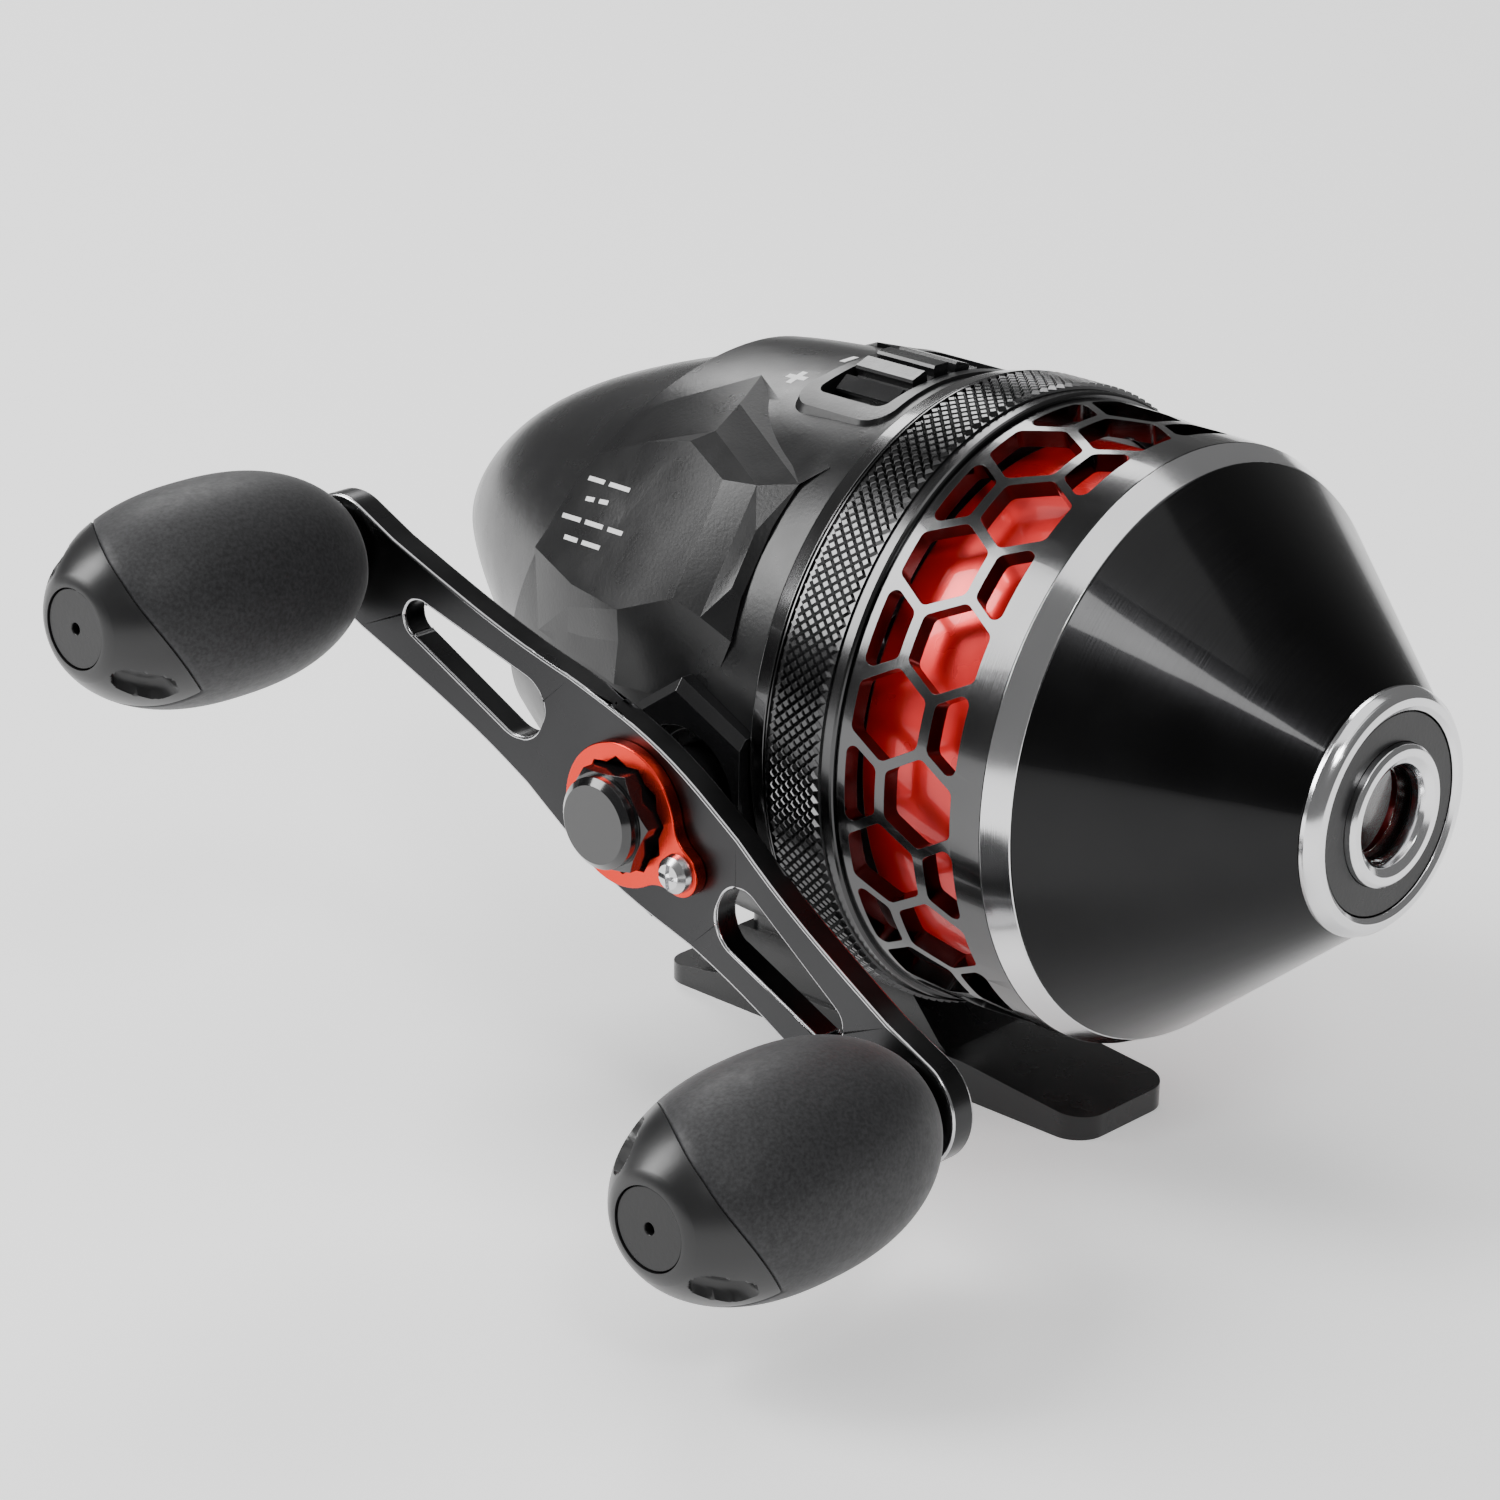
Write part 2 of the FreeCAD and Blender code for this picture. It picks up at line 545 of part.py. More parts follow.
def arm_plan():
    """Outline of the arm seen along the crank axis: wide at the hub, with round ends."""
    steps = 24
    sides = []
    for side in (1, -1):
        points = []
        for step in range(steps + 1):
            along = ARM_REACH * (2 * step / steps - 1)
            swell = (ARM_HUB_R - ARM_NECK_R) * math.exp(-(along / ARM_SWELL) ** 2)
            points.append(arm_point(along, side * (ARM_NECK_R + swell), -60))
        curve = Part.BSplineCurve()
        curve.interpolate(points)
        sides.append((points, curve.toShape()))
    first, second = sides
    ends = [Part.makeLine(first[0][place], second[0][place]) for place in (0, -1)]
    face = Part.Face(Part.Wire(Part.__sortEdges__([first[1], second[1]] + ends)))
    plan = face.extrude(Vector(40, 0, 0))
    for sign in (-1, 1):
        end = arm_point(sign * ARM_REACH, 0, 0)
        plan = plan.fuse(rod_x(ARM_NECK_R, -60, -20, end.y, end.z))
    return plan


def arm_slot(sign):
    """Tear-drop slot of one half of the arm."""
    wide = arm_point(sign * 17.3, 0, 0)
    narrow = arm_point(sign * 31.6, 0, 0)
    taper = prism([arm_point(sign * 17.6, 3.48, -60), arm_point(sign * 31.7, 2.1, -60),
                   arm_point(sign * 31.7, -2.1, -60), arm_point(sign * 17.6, -3.48, -60)], Vector(40, 0, 0))
    return taper.fuse(rod_x(3.5, -60, -20, wide.y, wide.z)).fuse(rod_x(2.1, -60, -20, narrow.y, narrow.z))


def crank_arm():
    """Bent double arm with two tear-drop slots."""
    flat = 12.8
    bend = 38.0
    reach = ARM_REACH + 8
    inner = [(-reach, ARM_INNER_X - ARM_RISE), (-bend, ARM_INNER_X - ARM_RISE), (-flat, ARM_INNER_X),
             (flat, ARM_INNER_X), (bend, ARM_INNER_X - ARM_RISE), (reach, ARM_INNER_X - ARM_RISE)]
    outer = [(along, x - ARM_THICK) for along, x in reversed(inner)]
    strip = prism([arm_point(along, -12, x) for along, x in inner + outer],
                  arm_point(0, 12, 0) - arm_point(0, -12, 0))
    arm = strip.common(arm_plan())
    for sign in (-1, 1):
        end = arm_point(sign * ARM_REACH, 0, 0)
        arm = arm.cut(arm_slot(sign)).cut(rod_x(2.02, -60, -20, end.y, end.z))
    bore = rod_x(CRANK_R + 0.02, -60, -20).common(
        box(-60, -20, CRANK_Y - 2.42, CRANK_Y + 2.42, CRANK_Z - 5, CRANK_Z + 5))
    screw = arm_point(-KEEPER_REACH, 0, 0)
    arm = arm.cut(bore).cut(rod_x(1.02, ARM_FACE_X - 1, ARM_FACE_X + 2.4, screw.y, screw.z))
    return arm.removeSplitter()


def hexagon(flats, x0, length, turn=0.0):
    """Hexagonal bar along X about the crank axis."""
    radius = flats / math.sqrt(3)
    corners = []
    for step in range(6):
        angle = math.radians(turn + 60 * step)
        corners.append(Vector(x0, CRANK_Y + radius * math.cos(angle), CRANK_Z + radius * math.sin(angle)))
    return prism(corners, Vector(length, 0, 0))


def crank_nut():
    """Hexagonal cap nut with a raised round cap and chamfered corners."""
    foot_x = ARM_FACE_X - 0.1
    shoulder_x = ARM_FACE_X - 3.6
    body = hexagon(10.0, foot_x, shoulder_x - foot_x, ARM_ANGLE + 30)
    cone = turned_x([(ARM_FACE_X, 0), (ARM_FACE_X, 6.2), (shoulder_x + 0.6, 6.2), (shoulder_x, 5.1),
                     (shoulder_x, 0)], CRANK_Y, CRANK_Z)
    cap = turned_x([(shoulder_x + 0.1, 0), (shoulder_x + 0.1, 4.8), (NUT_END_X + 0.6, 4.8),
                    (NUT_END_X, 4.1), (NUT_END_X, 0)], CRANK_Y, CRANK_Z)
    return body.common(cone).fuse(cap).cut(rod_x(2.42, ARM_FACE_X - 3.0, ARM_FACE_X + 1)).removeSplitter()


def retainer_plate():
    """Red keeper: a ring with a twelve-point opening around the nut and a waisted lobe for its screw."""
    ring_r = 7.6
    lobe_r = 2.55
    waist_r = 4.0
    inner = ARM_FACE_X - 0.02
    outer = inner - KEEPER_THICK
    lobe = arm_point(-KEEPER_REACH, 0, 0)
    plate = rod_x(ring_r, outer, inner).fuse(rod_x(lobe_r, outer, inner, lobe.y, lobe.z))
    far = ring_r + waist_r
    near = lobe_r + waist_r
    along = (KEEPER_REACH ** 2 + far ** 2 - near ** 2) / (2 * KEEPER_REACH)
    across = math.sqrt(far ** 2 - along ** 2)
    share = ring_r / far
    reach = KEEPER_REACH + (along - KEEPER_REACH) * lobe_r / near
    width = across * lobe_r / near
    web = [arm_point(-along * share, across * share, outer), arm_point(-reach, width, outer),
           arm_point(-reach, -width, outer), arm_point(-along * share, -across * share, outer)]
    plate = plate.fuse(prism(web, Vector(KEEPER_THICK, 0, 0)))
    for side in (-1, 1):
        waist = arm_point(-along, side * across, 0)
        plate = plate.cut(rod_x(waist_r, outer - 1, inner + 1, waist.y, waist.z))
    for turn in (0, 30):
        plate = plate.cut(hexagon(10.6, outer - 1, KEEPER_THICK + 2, ARM_ANGLE + turn))
    return plate.cut(rod_x(1.05, outer - 1, inner + 1, lobe.y, lobe.z)).removeSplitter()


def retainer_screw():
    """Pan head cross screw."""
    place = arm_point(-KEEPER_REACH, 0, 0)
    seat = ARM_FACE_X - KEEPER_THICK - 0.04
    head = turned_x([(seat, 0), (seat, 2.05), (seat - 0.78, 1.9), (seat - 1.38, 1.3), (seat - 1.58, 0)],
                    place.y, place.z)
    shank = rod_x(1.0, seat - 0.1, ARM_FACE_X + 1.5, place.y, place.z)
    cross = box(seat - 2, seat - 0.88, place.y - 1.3, place.y + 1.3, place.z - 0.25, place.z + 0.25)
    cross = cross.fuse(box(seat - 2, seat - 0.88, place.y - 0.25, place.y + 0.25, place.z - 1.3, place.z + 1.3))
    return head.fuse(shank).cut(cross).removeSplitter()


def drive_gear():
    """Face gear: straight teeth skewed so that they lie along the offset pinion."""
    offset = AXIS_Z - CRANK_Z
    root_x = -3.75
    tip_x = -2.35
    body = rod_x(GEAR_R, -6.4, root_x).cut(rod_x(9.0, -4.4, root_x + 1))
    hub = rod_x(5.6, -11.0, -4.4)
    gear = body.fuse(hub)
    inner = 10.0
    outer = 13.2
    teeth = []
    for step in range(GEAR_TEETH):
        section = [Vector(root_x - 0.3, -outer, 0.52), Vector(tip_x, -outer, 0.17),
                   Vector(tip_x, -outer, -0.17), Vector(root_x - 0.3, -outer, -0.52)]
        tooth = prism([point + Vector(0, CRANK_Y, AXIS_Z) for point in section], Vector(0, outer - inner, 0))
        tooth.rotate(Vector(0, CRANK_Y, CRANK_Z), X_AXIS, 360.0 / GEAR_TEETH * step)
        teeth.append(tooth)
    ring = tube_x(GEAR_R, math.hypot(inner, offset), root_x - 0.3, tip_x)
    gear = gear.fuse(Part.makeCompound(teeth).common(ring))
    return gear.cut(rod_x(CRANK_R + 0.01, -20, 5)).removeSplitter()


def gear_clip():
    """Open snap ring that holds the gear on its shaft."""
    ring = tube_x(4.3, 2.45, -11.85, -11.15)
    return ring.cut(box(-13, -10, CRANK_Y - 1.4, CRANK_Y + 1.4, CRANK_Z, CRANK_Z + 6))


def bearing_spacer():
    """Sleeve between the arm and the crank bearing."""
    return tube_x(4.4, CRANK_R + 0.01, ARM_INNER_X + 0.1, -30.65)


# ---- knobs -------------------------------------------------------------------
def knob_centre(sign):
    place = arm_point(sign * ARM_REACH, 0, 0)
    return place.y, place.z


def knob_outline():
    """Egg outline of a knob as (share of length from the base, share of the largest radius)."""
    shape = []
    steps = 16
    for step in range(steps + 1):
        share = step / steps
        across = -0.93 + 1.85 * share
        shape.append((share, math.sqrt(1 - abs(across) ** 2.4)))
    return shape


def knob_solid(y, z, x0, x1, grow=0.0):
    """Slice of the egg between two stations along X."""
    length = KNOB_BASE_X - KNOB_END_X
    points = [(KNOB_BASE_X - length * share, KNOB_R * size + grow) for share, size in knob_outline()]
    spline = Part.BSplineCurve()
    spline.interpolate([Vector(x, y + radius, z) for x, radius in points])
    first = Vector(points[0][0], y, z)
    last = Vector(points[-1][0], y, z)
    edges = [spline.toShape(), Part.makeLine(Vector(points[-1][0], y + points[-1][1], z), last),
             Part.makeLine(last, first), Part.makeLine(first, Vector(points[0][0], y + points[0][1], z))]
    egg = Part.Face(Part.Wire(edges)).revolve(Vector(0, y, z), X_AXIS, 360)
    return egg.common(box(x1, x0, y - 20, y + 20, z - 20, z + 20))


def knob_pieces(sign, tag):
    """Grip, end cap, centre disc, base ring and bushing of one knob."""
    y, z = knob_centre(sign)
    split = KNOB_BASE_X - 23.4
    grip = knob_solid(y, z, KNOB_BASE_X - 1.5, split)
    grip = grip.cut(rod_x(3.02, -90, -40, y, z))
    cap = knob_solid(y, z, split - 0.03, KNOB_END_X)
    cap = cap.cut(rod_x(3.02, -75.6, -40, y, z)).cut(rod_x(4.25, -90, -76.6, y, z))
    for step in range(2):
        angle = math.radians(180 * step + 35)
        centre_y = y + 10.3 * math.cos(angle)
        centre_z = z + 10.3 * math.sin(angle)
        groove = rod_x(1.7, -75.6, -71.4, centre_y, centre_z)
        for x in (-75.6, -71.4):
            groove = groove.fuse(Part.makeSphere(1.7, Vector(x, centre_y, centre_z)))
        cap = cap.cut(groove)
    disc = tube_x(4.1, 0.6, -78.1, -76.7, y, z)
    ring = tube_x(4.6, 3.1, KNOB_BASE_X - 1.48, KNOB_BASE_X - 0.3, y, z)
    bushing = tube_x(3.0, 2.0 + RUN_FIT, -74.0, KNOB_BASE_X - 0.3, y, z)
    save(grip, "knob_grip_%s" % tag)
    save(cap, "knob_cap_%s" % tag)
    save(disc, "knob_disc_%s" % tag)
    save(ring, "knob_ring_%s" % tag)
    save(bushing, "knob_bushing_%s" % tag)


def knob_posts():
    """Two steel posts riveted into the ends of the arm."""
    inner_x = ARM_INNER_X - ARM_RISE
    posts = []
    for sign in (1, -1):
        y, z = knob_centre(sign)
        post = rod_x(2.0, -74.4, inner_x, y, z)
        rivet = turned_x([(inner_x, 0), (inner_x, 3.2), (inner_x + 0.7, 2.8), (inner_x + 0.9, 0)], y, z)
        posts.append(post.fuse(rivet).cut(rod_x(1.02, -75, -68, y, z)))
    return Part.makeCompound(posts)


def knob_screws():
    """Screws in the ends of the posts that keep the knobs on."""
    screws = []
    for sign in (1, -1):
        y, z = knob_centre(sign)
        head = rod_x(2.6, -75.3, -74.42, y, z)
        shank = rod_x(1.0, -74.5, -69.0, y, z)
        screws.append(head.fuse(shank).cut(box(-76, -74.9, y - 2, y + 2, z - 0.3, z + 0.3)))
    return Part.makeCompound(screws)


# ---- shaft, pinion, spool ----------------------------------------------------
def double_flat(radius, flat, y0, y1):
    """Round bar with two flats along the reel axis."""
    low = min(y0, y1)
    high = max(y0, y1)
    return rod_y(radius, low, high).common(box(-flat, flat, low, high, AXIS_Z - 5, AXIS_Z + 5))


def centre_shaft():
    """Shaft from the spinner head to the button, with flats where the pinion drives it."""
    front = rod_y(SHAFT_R, -37.6, -30.0)
    flats = double_flat(SHAFT_R, SHAFT_FLAT, -30.5, 8.0)
    rear = rod_y(SHAFT_R, 7.5, 33.0)
    shaft = front.fuse(flats).fuse(rear)
    return shaft.cut(tube_y(3.0, 1.1, 30.2, 31.0)).removeSplitter()


def pinion():
    """Nine-tooth pinion and its hollow arbor in one piece."""
    root = 2.1
    outer = 3.42
    teeth_back = CRANK_Y - 10.2
    teeth_front = DECK_BACK + 0.6
    arbor = rod_y(2.98, HUB_FRONT - 0.6, teeth_front + 0.02)
    core = rod_y(root, teeth_front, teeth_back)
    gear = arbor.fuse(core)
    for step in range(PINION_TEETH):
        section = [Vector(-root + 0.4, teeth_front, 0.56), Vector(-outer, teeth_front, 0.13),
                   Vector(-outer, teeth_front, -0.13), Vector(-root + 0.4, teeth_front, -0.56)]
        tooth = prism([point + Vector(0, 0, AXIS_Z) for point in section],
                      Vector(0, teeth_back - teeth_front, 0))
        tooth.rotate(Vector(0, 0, AXIS_Z), Y_AXIS, 360.0 / PINION_TEETH * (step + 0.5))
        gear = gear.fuse(tooth)
    bore = double_flat(SHAFT_R + RUN_FIT, SHAFT_FLAT + RUN_FIT, HUB_FRONT - 2, teeth_back + 2)
    return gear.cut(bore).removeSplitter()


def spinner_head():
    """Deep red cup that carries the pickup pin and lays line on the spool."""
    inner = CUP_R - CUP_WALL
    cup = turned_y([(CUP_R - 0.6, -15.9), (CUP_R, -16.5), (CUP_R, -30.6), (CUP_R - 0.8, -32.6),
                    (CUP_R - 3.0, -34.2), (CUP_R - 6.0, -35.0), (0, -35.0), (0, -33.4), (inner - 5.0, -33.4),
                    (inner - 2.2, -32.6), (inner - 0.6, -31.2), (inner, -29.8), (inner, -16.3),
                    (inner + 0.4, -15.9)])
    hub = rod_y(4.6, -33.5, -30.6)
    cup = cup.fuse(hub).cut(rod_y(SHAFT_R + 0.01, -40, -20))
    for step in range(6):
        angle = math.radians(60 * step + 30)
        x = 14.5 * math.cos(angle)
        z = AXIS_Z + 14.5 * math.sin(angle)
        cup = cup.cut(rod_y(3.4, -40, -32, x, z))
    guide = box(-2.3, 2.3, PIN_Y - 2.3, PIN_Y + 2.3, AXIS_Z + inner - 0.8, AXIS_Z + inner + 0.3)
    bore = Part.makeCylinder(PIN_R + 0.06, 12, Vector(0, PIN_Y, AXIS_Z + 20), Z_AXIS)
    return cup.fuse(guide).cut(bore).removeSplitter()


def pickup_pin():
    """Hard pin with a round tip that catches the line."""
    pin = Part.makeCylinder(PIN_R, 2.1, Vector(0, PIN_Y, AXIS_Z + CUP_R - 1.8), Z_AXIS)
    tip = Part.makeSphere(PIN_R, Vector(0, PIN_Y, AXIS_Z + CUP_R + 0.3))
    return pin.fuse(tip).removeSplitter()


def spinner_nut():
    """Nut and washer in front of the spinner head."""
    corners = []
    for step in range(6):
        angle = math.radians(60 * step)
        corners.append(Vector(3.1 * math.cos(angle), -35.6, AXIS_Z + 3.1 * math.sin(angle)))
    nut = prism(corners, Vector(0, -2.0, 0)).fuse(rod_y(3.6, -35.7, -35.02))
    return nut.cut(rod_y(SHAFT_R + 0.01, -40, -30))


def shaft_clip():
    """Snap ring in the groove at the rear end of the shaft."""
    ring = tube_y(2.7, 1.12, 30.25, 30.95)
    return ring.cut(box(-0.9, 0.9, 30, 32, AXIS_Z, AXIS_Z + 4))


def thrust_pad():
    """Plastic pad that the button presses on; the shaft turns inside it."""
    pad = rod_y(4.2, 31.3, PAD_BACK)
    edge = [line for line in pad.Edges if abs(line.BoundBox.YMax - PAD_BACK) < 0.01
            and line.BoundBox.YLength < 0.01]
    pad = pad.makeFillet(1.0, edge)
    return pad.cut(rod_y(SHAFT_R + RUN_FIT, 31, 33.3))


def spool():
    """Line spool turning on the deck's hub."""
    body = turned_y([(HUB_R + RUN_FIT, -15.6), (23.4, -15.6), (23.4, -16.8), (11.0, -16.8), (11.0, -25.0),
                     (22.8, -25.0), (22.8, -26.0), (HUB_R + RUN_FIT, -26.0)])
    for step in range(8):
        angle = math.radians(45 * step + 22.5)
        x = 17.0 * math.cos(angle)
        z = AXIS_Z + 17.0 * math.sin(angle)
        body = body.cut(rod_y(2.2, -24.9, -27, x, z))
    return body


def line_pack():
    """Wound line on the spool, slightly barrel shaped."""
    return turned_y([(11.02, -16.82), (19.6, -16.82), (20.3, -19.0), (20.4, -21.0), (20.3, -23.0),
                     (19.4, -24.98), (11.02, -24.98)])


# ---- drag --------------------------------------------------------------------
def drag_wheel():
    """Wheel with broad flat-topped ribs; the front end of its spindle is the drag screw."""
    rib = [(-6.0, WHEEL_R - 1.2), (-6.0, WHEEL_R - 0.3), (-5.0, WHEEL_R),
           (5.0, WHEEL_R), (6.0, WHEEL_R - 0.3), (6.0, WHEEL_R - 1.2)]
    corners = []
    for step in range(WHEEL_RIBS):
        for turn, radius in rib:
            angle = math.radians(360.0 / WHEEL_RIBS * step + turn)
            corners.append(Vector(radius * math.sin(angle), WHEEL_FRONT, WHEEL_Z + radius * math.cos(angle)))
    wheel = prism(corners, Vector(0, WHEEL_BACK - WHEEL_FRONT, 0))
    spindle = rod_y(1.5, -13.2, WHEEL_BACK + 4.0, 0, WHEEL_Z)
    return wheel.fuse(spindle).removeSplitter()


def drag_shoe():
    """Square follower on the drag screw; its face presses on the spool's rear flange."""
    shoe = box(-2.6, 2.6, -15.1, -6.4, WHEEL_Z - 2.6, WHEEL_Z + 2.6)
    return shoe.cut(rod_y(1.5 + RUN_FIT, -13.9, -5, 0, WHEEL_Z))


# ---- thumb button ------------------------------------------------------------
def thumb_button():
    """Hollow rear cap that swings about its pin; a web inside pushes the shaft."""
    skin = oval_loft(BUTTON_ROWS)
    room = oval_loft(BUTTON_ROWS[:-2], 1.8)
    cap = skin.cut(room)
    web = box(-3.0, 3.0, PAD_BACK + 0.3, 62, AXIS_Z + 0.2, AXIS_Z + 4.0)
    cap = cap.fuse(web.common(skin))
    for side in (-1, 1):
        low = side * 5.4
        high = side * 7.8
        ear = box(min(low, high), max(low, high), PIVOT_Y - 2.0, PIVOT_Y + 6.0, PIVOT_Z - 2.2, 72)
        cap = cap.fuse(ear.common(skin))
    cap = cap.common(behind_seam(-4.0))
    upper = box(-50, 50, 0, 60, PIVOT_Z + 2.5, 100)
    for low, high in ((-50, -10), (10, 50)):
        upper = upper.fuse(box(low, high, 0, 60, PIVOT_Z + 1.2, 100))
    cap = cap.cut(upper.cut(behind_seam(0.5)))
    cap = cap.cut(rod_x(PIVOT_R + RUN_FIT, -20, 20, PIVOT_Y, PIVOT_Z))
    return cap.removeSplitter()


def main():
    os.makedirs("parts", exist_ok=True)
    save(housing(), "housing")
    save(collar_ring(), "collar_ring")
    save(crank_boss(), "crank_boss")
    save(foot(), "foot")
    save(foot_screws(), "foot_screws")
    save(deck_plate(), "deck_plate")
    save(deck_screws(), "deck_screws")
    save(ball_bearing(5.0, 3.0, 3.4, Vector(0, DECK_BACK - 3.8, AXIS_Z), Y_AXIS), "pinion_bearing_rear")
    save(ball_bearing(5.0, 3.0, 3.4, Vector(0, HUB_FRONT + 0.3, AXIS_Z), Y_AXIS), "pinion_bearing_front")
    save(ball_bearing(7.0, 3.02, 4.0, Vector(-30.6, CRANK_Y, CRANK_Z), X_AXIS), "crank_bearing")
    save(tube_x(4.5, CRANK_R + RUN_FIT, 19.2, 25.4), "crank_bushing")
    save(one_way_clutch(), "one_way_clutch")
    save(rear_bulkhead(), "rear_bulkhead")
    save(tube_y(3.0, SHAFT_R + RUN_FIT, 17.8, 22.4), "shaft_bushing")
    save(wheel_bracket(), "wheel_bracket")
    save(rod_x(PIVOT_R, -10.4, 10.4, PIVOT_Y, PIVOT_Z), "thumb_pivot_pin")
    save(spring(2.55, 0.3, 7, 6.6, Vector(0, 23.2, AXIS_Z), Y_AXIS), "shaft_spring")
    save(spring(1.85, 0.3, 7, 8.0, Vector(-4.0, PIVOT_Y, PIVOT_Z), X_AXIS), "button_spring")
    save(cover_skirt(), "cover_skirt")
    save(bright_ring(), "bright_ring")
    save(cover_cone(), "cover_cone")
    save(knurled_ring(), "knurled_ring")
    save(nose_bezel(), "nose_bezel")
    save(nose_insert(), "nose_insert")
    save(line_guide(), "line_guide")
    save(crankshaft(), "crankshaft")
    save(crank_arm(), "crank_arm")
    save(crank_nut(), "crank_nut")
    save(retainer_plate(), "retainer_plate")
    save(retainer_screw(), "retainer_screw")
    save(bearing_spacer(), "bearing_spacer")
    save(drive_gear(), "drive_gear")
    save(gear_clip(), "gear_clip")
    save(knob_posts(), "knob_posts")
    save(knob_screws(), "knob_screws")
    knob_pieces(1, "rear")
    knob_pieces(-1, "front")
    save(centre_shaft(), "centre_shaft")
    save(pinion(), "pinion")
    save(spinner_head(), "spinner_head")
    save(spinner_nut(), "spinner_nut")
    save(shaft_clip(), "shaft_clip")
    save(thrust_pad(), "thrust_pad")
    save(pickup_pin(), "pickup_pin")
    save(spool(), "spool")
    save(line_pack(), "line_pack")
    save(drag_wheel(), "drag_wheel")
    save(drag_shoe(), "drag_shoe")
    save(thumb_button(), "thumb_button")


main()
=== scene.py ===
import json
import math

import bmesh
import bpy
from mathutils import Matrix, Vector
from mathutils.bvhtree import BVHTree


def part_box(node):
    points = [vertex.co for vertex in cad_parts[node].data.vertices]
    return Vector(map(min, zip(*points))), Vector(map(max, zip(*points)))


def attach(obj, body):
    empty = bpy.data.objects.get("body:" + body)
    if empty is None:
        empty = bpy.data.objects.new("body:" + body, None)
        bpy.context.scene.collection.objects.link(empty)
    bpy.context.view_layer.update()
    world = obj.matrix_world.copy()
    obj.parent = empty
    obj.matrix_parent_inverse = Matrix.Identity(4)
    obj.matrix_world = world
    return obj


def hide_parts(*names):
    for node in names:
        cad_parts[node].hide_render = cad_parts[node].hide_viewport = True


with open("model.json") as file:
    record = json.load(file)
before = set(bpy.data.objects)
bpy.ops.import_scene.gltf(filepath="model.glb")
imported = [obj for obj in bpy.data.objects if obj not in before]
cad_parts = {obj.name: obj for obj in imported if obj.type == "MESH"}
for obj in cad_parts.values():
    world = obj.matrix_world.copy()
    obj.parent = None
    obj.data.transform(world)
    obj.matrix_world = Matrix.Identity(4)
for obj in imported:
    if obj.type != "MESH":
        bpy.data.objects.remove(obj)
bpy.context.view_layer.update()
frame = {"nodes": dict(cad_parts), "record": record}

NODES = frame["nodes"]
MM = 0.001

# The reel's axis runs along Y at X = 0; its height is that of the grip ring's middle.
RING_LOW, RING_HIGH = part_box("knurled_ring")
AXIS_Z = (RING_LOW[2] + RING_HIGH[2]) / 2


# ---- materials -----------------------------------------------------------------------
NOISE_LOW, NOISE_HIGH = 0.3, 0.7        # the part of the noise's range that is used
PLASTIC_SPREAD = 0.12                   # share by which the roughness wanders each way
METAL_SPREAD = 0.15
LATHE_RINGS = (60.0, 9000.0, 60.0)      # noise scale that makes rings about the reel's axis
LINE_TURNS = (150.0, 5200.0, 150.0)     # noise scale of the wound line's turns
SPECKLE = 2600.0                        # noise scale of the knobs' rubbery grain


def even(scale):
    """Noise scale that is the same along each axis."""
    return (scale, scale, scale)


class Surface:
    """Adds and links the shader nodes of one material."""

    def __init__(self, name):
        self.material = bpy.data.materials.new(name)
        self.material.use_nodes = True
        self.tree = self.material.node_tree
        self.shader = self.tree.nodes["Principled BSDF"]

    def add(self, kind, **values):
        node = self.tree.nodes.new(kind)
        for key, value in values.items():
            setattr(node, key, value)
        return node

    def link(self, output, socket):
        self.tree.links.new(output, socket)

    def put(self, **values):
        """Sets the shader's own sockets; an underscore stands for a space."""
        for key, value in values.items():
            self.shader.inputs[key.replace("_", " ")].default_value = value

    def noise(self, scale=1.0, detail=3.0, stretch=None):
        """Noise in the object's own coordinates, after each axis is scaled by stretch."""
        place = self.add("ShaderNodeTexCoord").outputs["Object"]
        if stretch:
            mapping = self.add("ShaderNodeMapping")
            mapping.inputs["Scale"].default_value = stretch
            self.link(place, mapping.inputs["Vector"])
            place = mapping.outputs["Vector"]
        texture = self.add("ShaderNodeTexNoise")
        texture.inputs["Scale"].default_value = scale
        texture.inputs["Detail"].default_value = detail
        self.link(place, texture.inputs["Vector"])
        return texture.outputs["Fac"]

    def tone(self, value, dark, light):
        """Base colour between two tones."""
        ramp = self.add("ShaderNodeValToRGB")
        ramp.color_ramp.elements[0].position = NOISE_LOW
        ramp.color_ramp.elements[1].position = NOISE_HIGH
        ramp.color_ramp.elements[0].color = (*dark, 1)
        ramp.color_ramp.elements[1].color = (*light, 1)
        self.link(value, ramp.inputs["Fac"])
        self.link(ramp.outputs["Color"], self.shader.inputs["Base Color"])

    def gloss(self, value, low, high):
        """Roughness between two values."""
        span = self.add("ShaderNodeMapRange")
        span.inputs["From Min"].default_value = NOISE_LOW
        span.inputs["From Max"].default_value = NOISE_HIGH
        span.inputs["To Min"].default_value = low
        span.inputs["To Max"].default_value = high
        self.link(value, span.inputs["Value"])
        self.link(span.outputs["Result"], self.shader.inputs["Roughness"])

    def bump(self, height, strength, distance):
        node = self.add("ShaderNodeBump")
        node.inputs["Strength"].default_value = strength
        node.inputs["Distance"].default_value = distance
        self.link(height, node.inputs["Height"])
        self.link(node.outputs["Normal"], self.shader.inputs["Normal"])


def plastic(name, dark, light, rough, grain, strength, coat=0.0, specular=0.5):
    """Moulded plastic: fine grain bump, slightly uneven gloss and tone."""
    surface = Surface(name)
    surface.tone(surface.noise(scale=55.0), dark, light)
    surface.gloss(surface.noise(scale=220.0), rough * (1 - PLASTIC_SPREAD), rough * (1 + PLASTIC_SPREAD))
    surface.bump(surface.noise(scale=grain, detail=2.0), strength, 0.06 * MM)
    surface.put(Coat_Weight=coat, Coat_Roughness=0.08, Specular_IOR_Level=specular)
    return surface.material


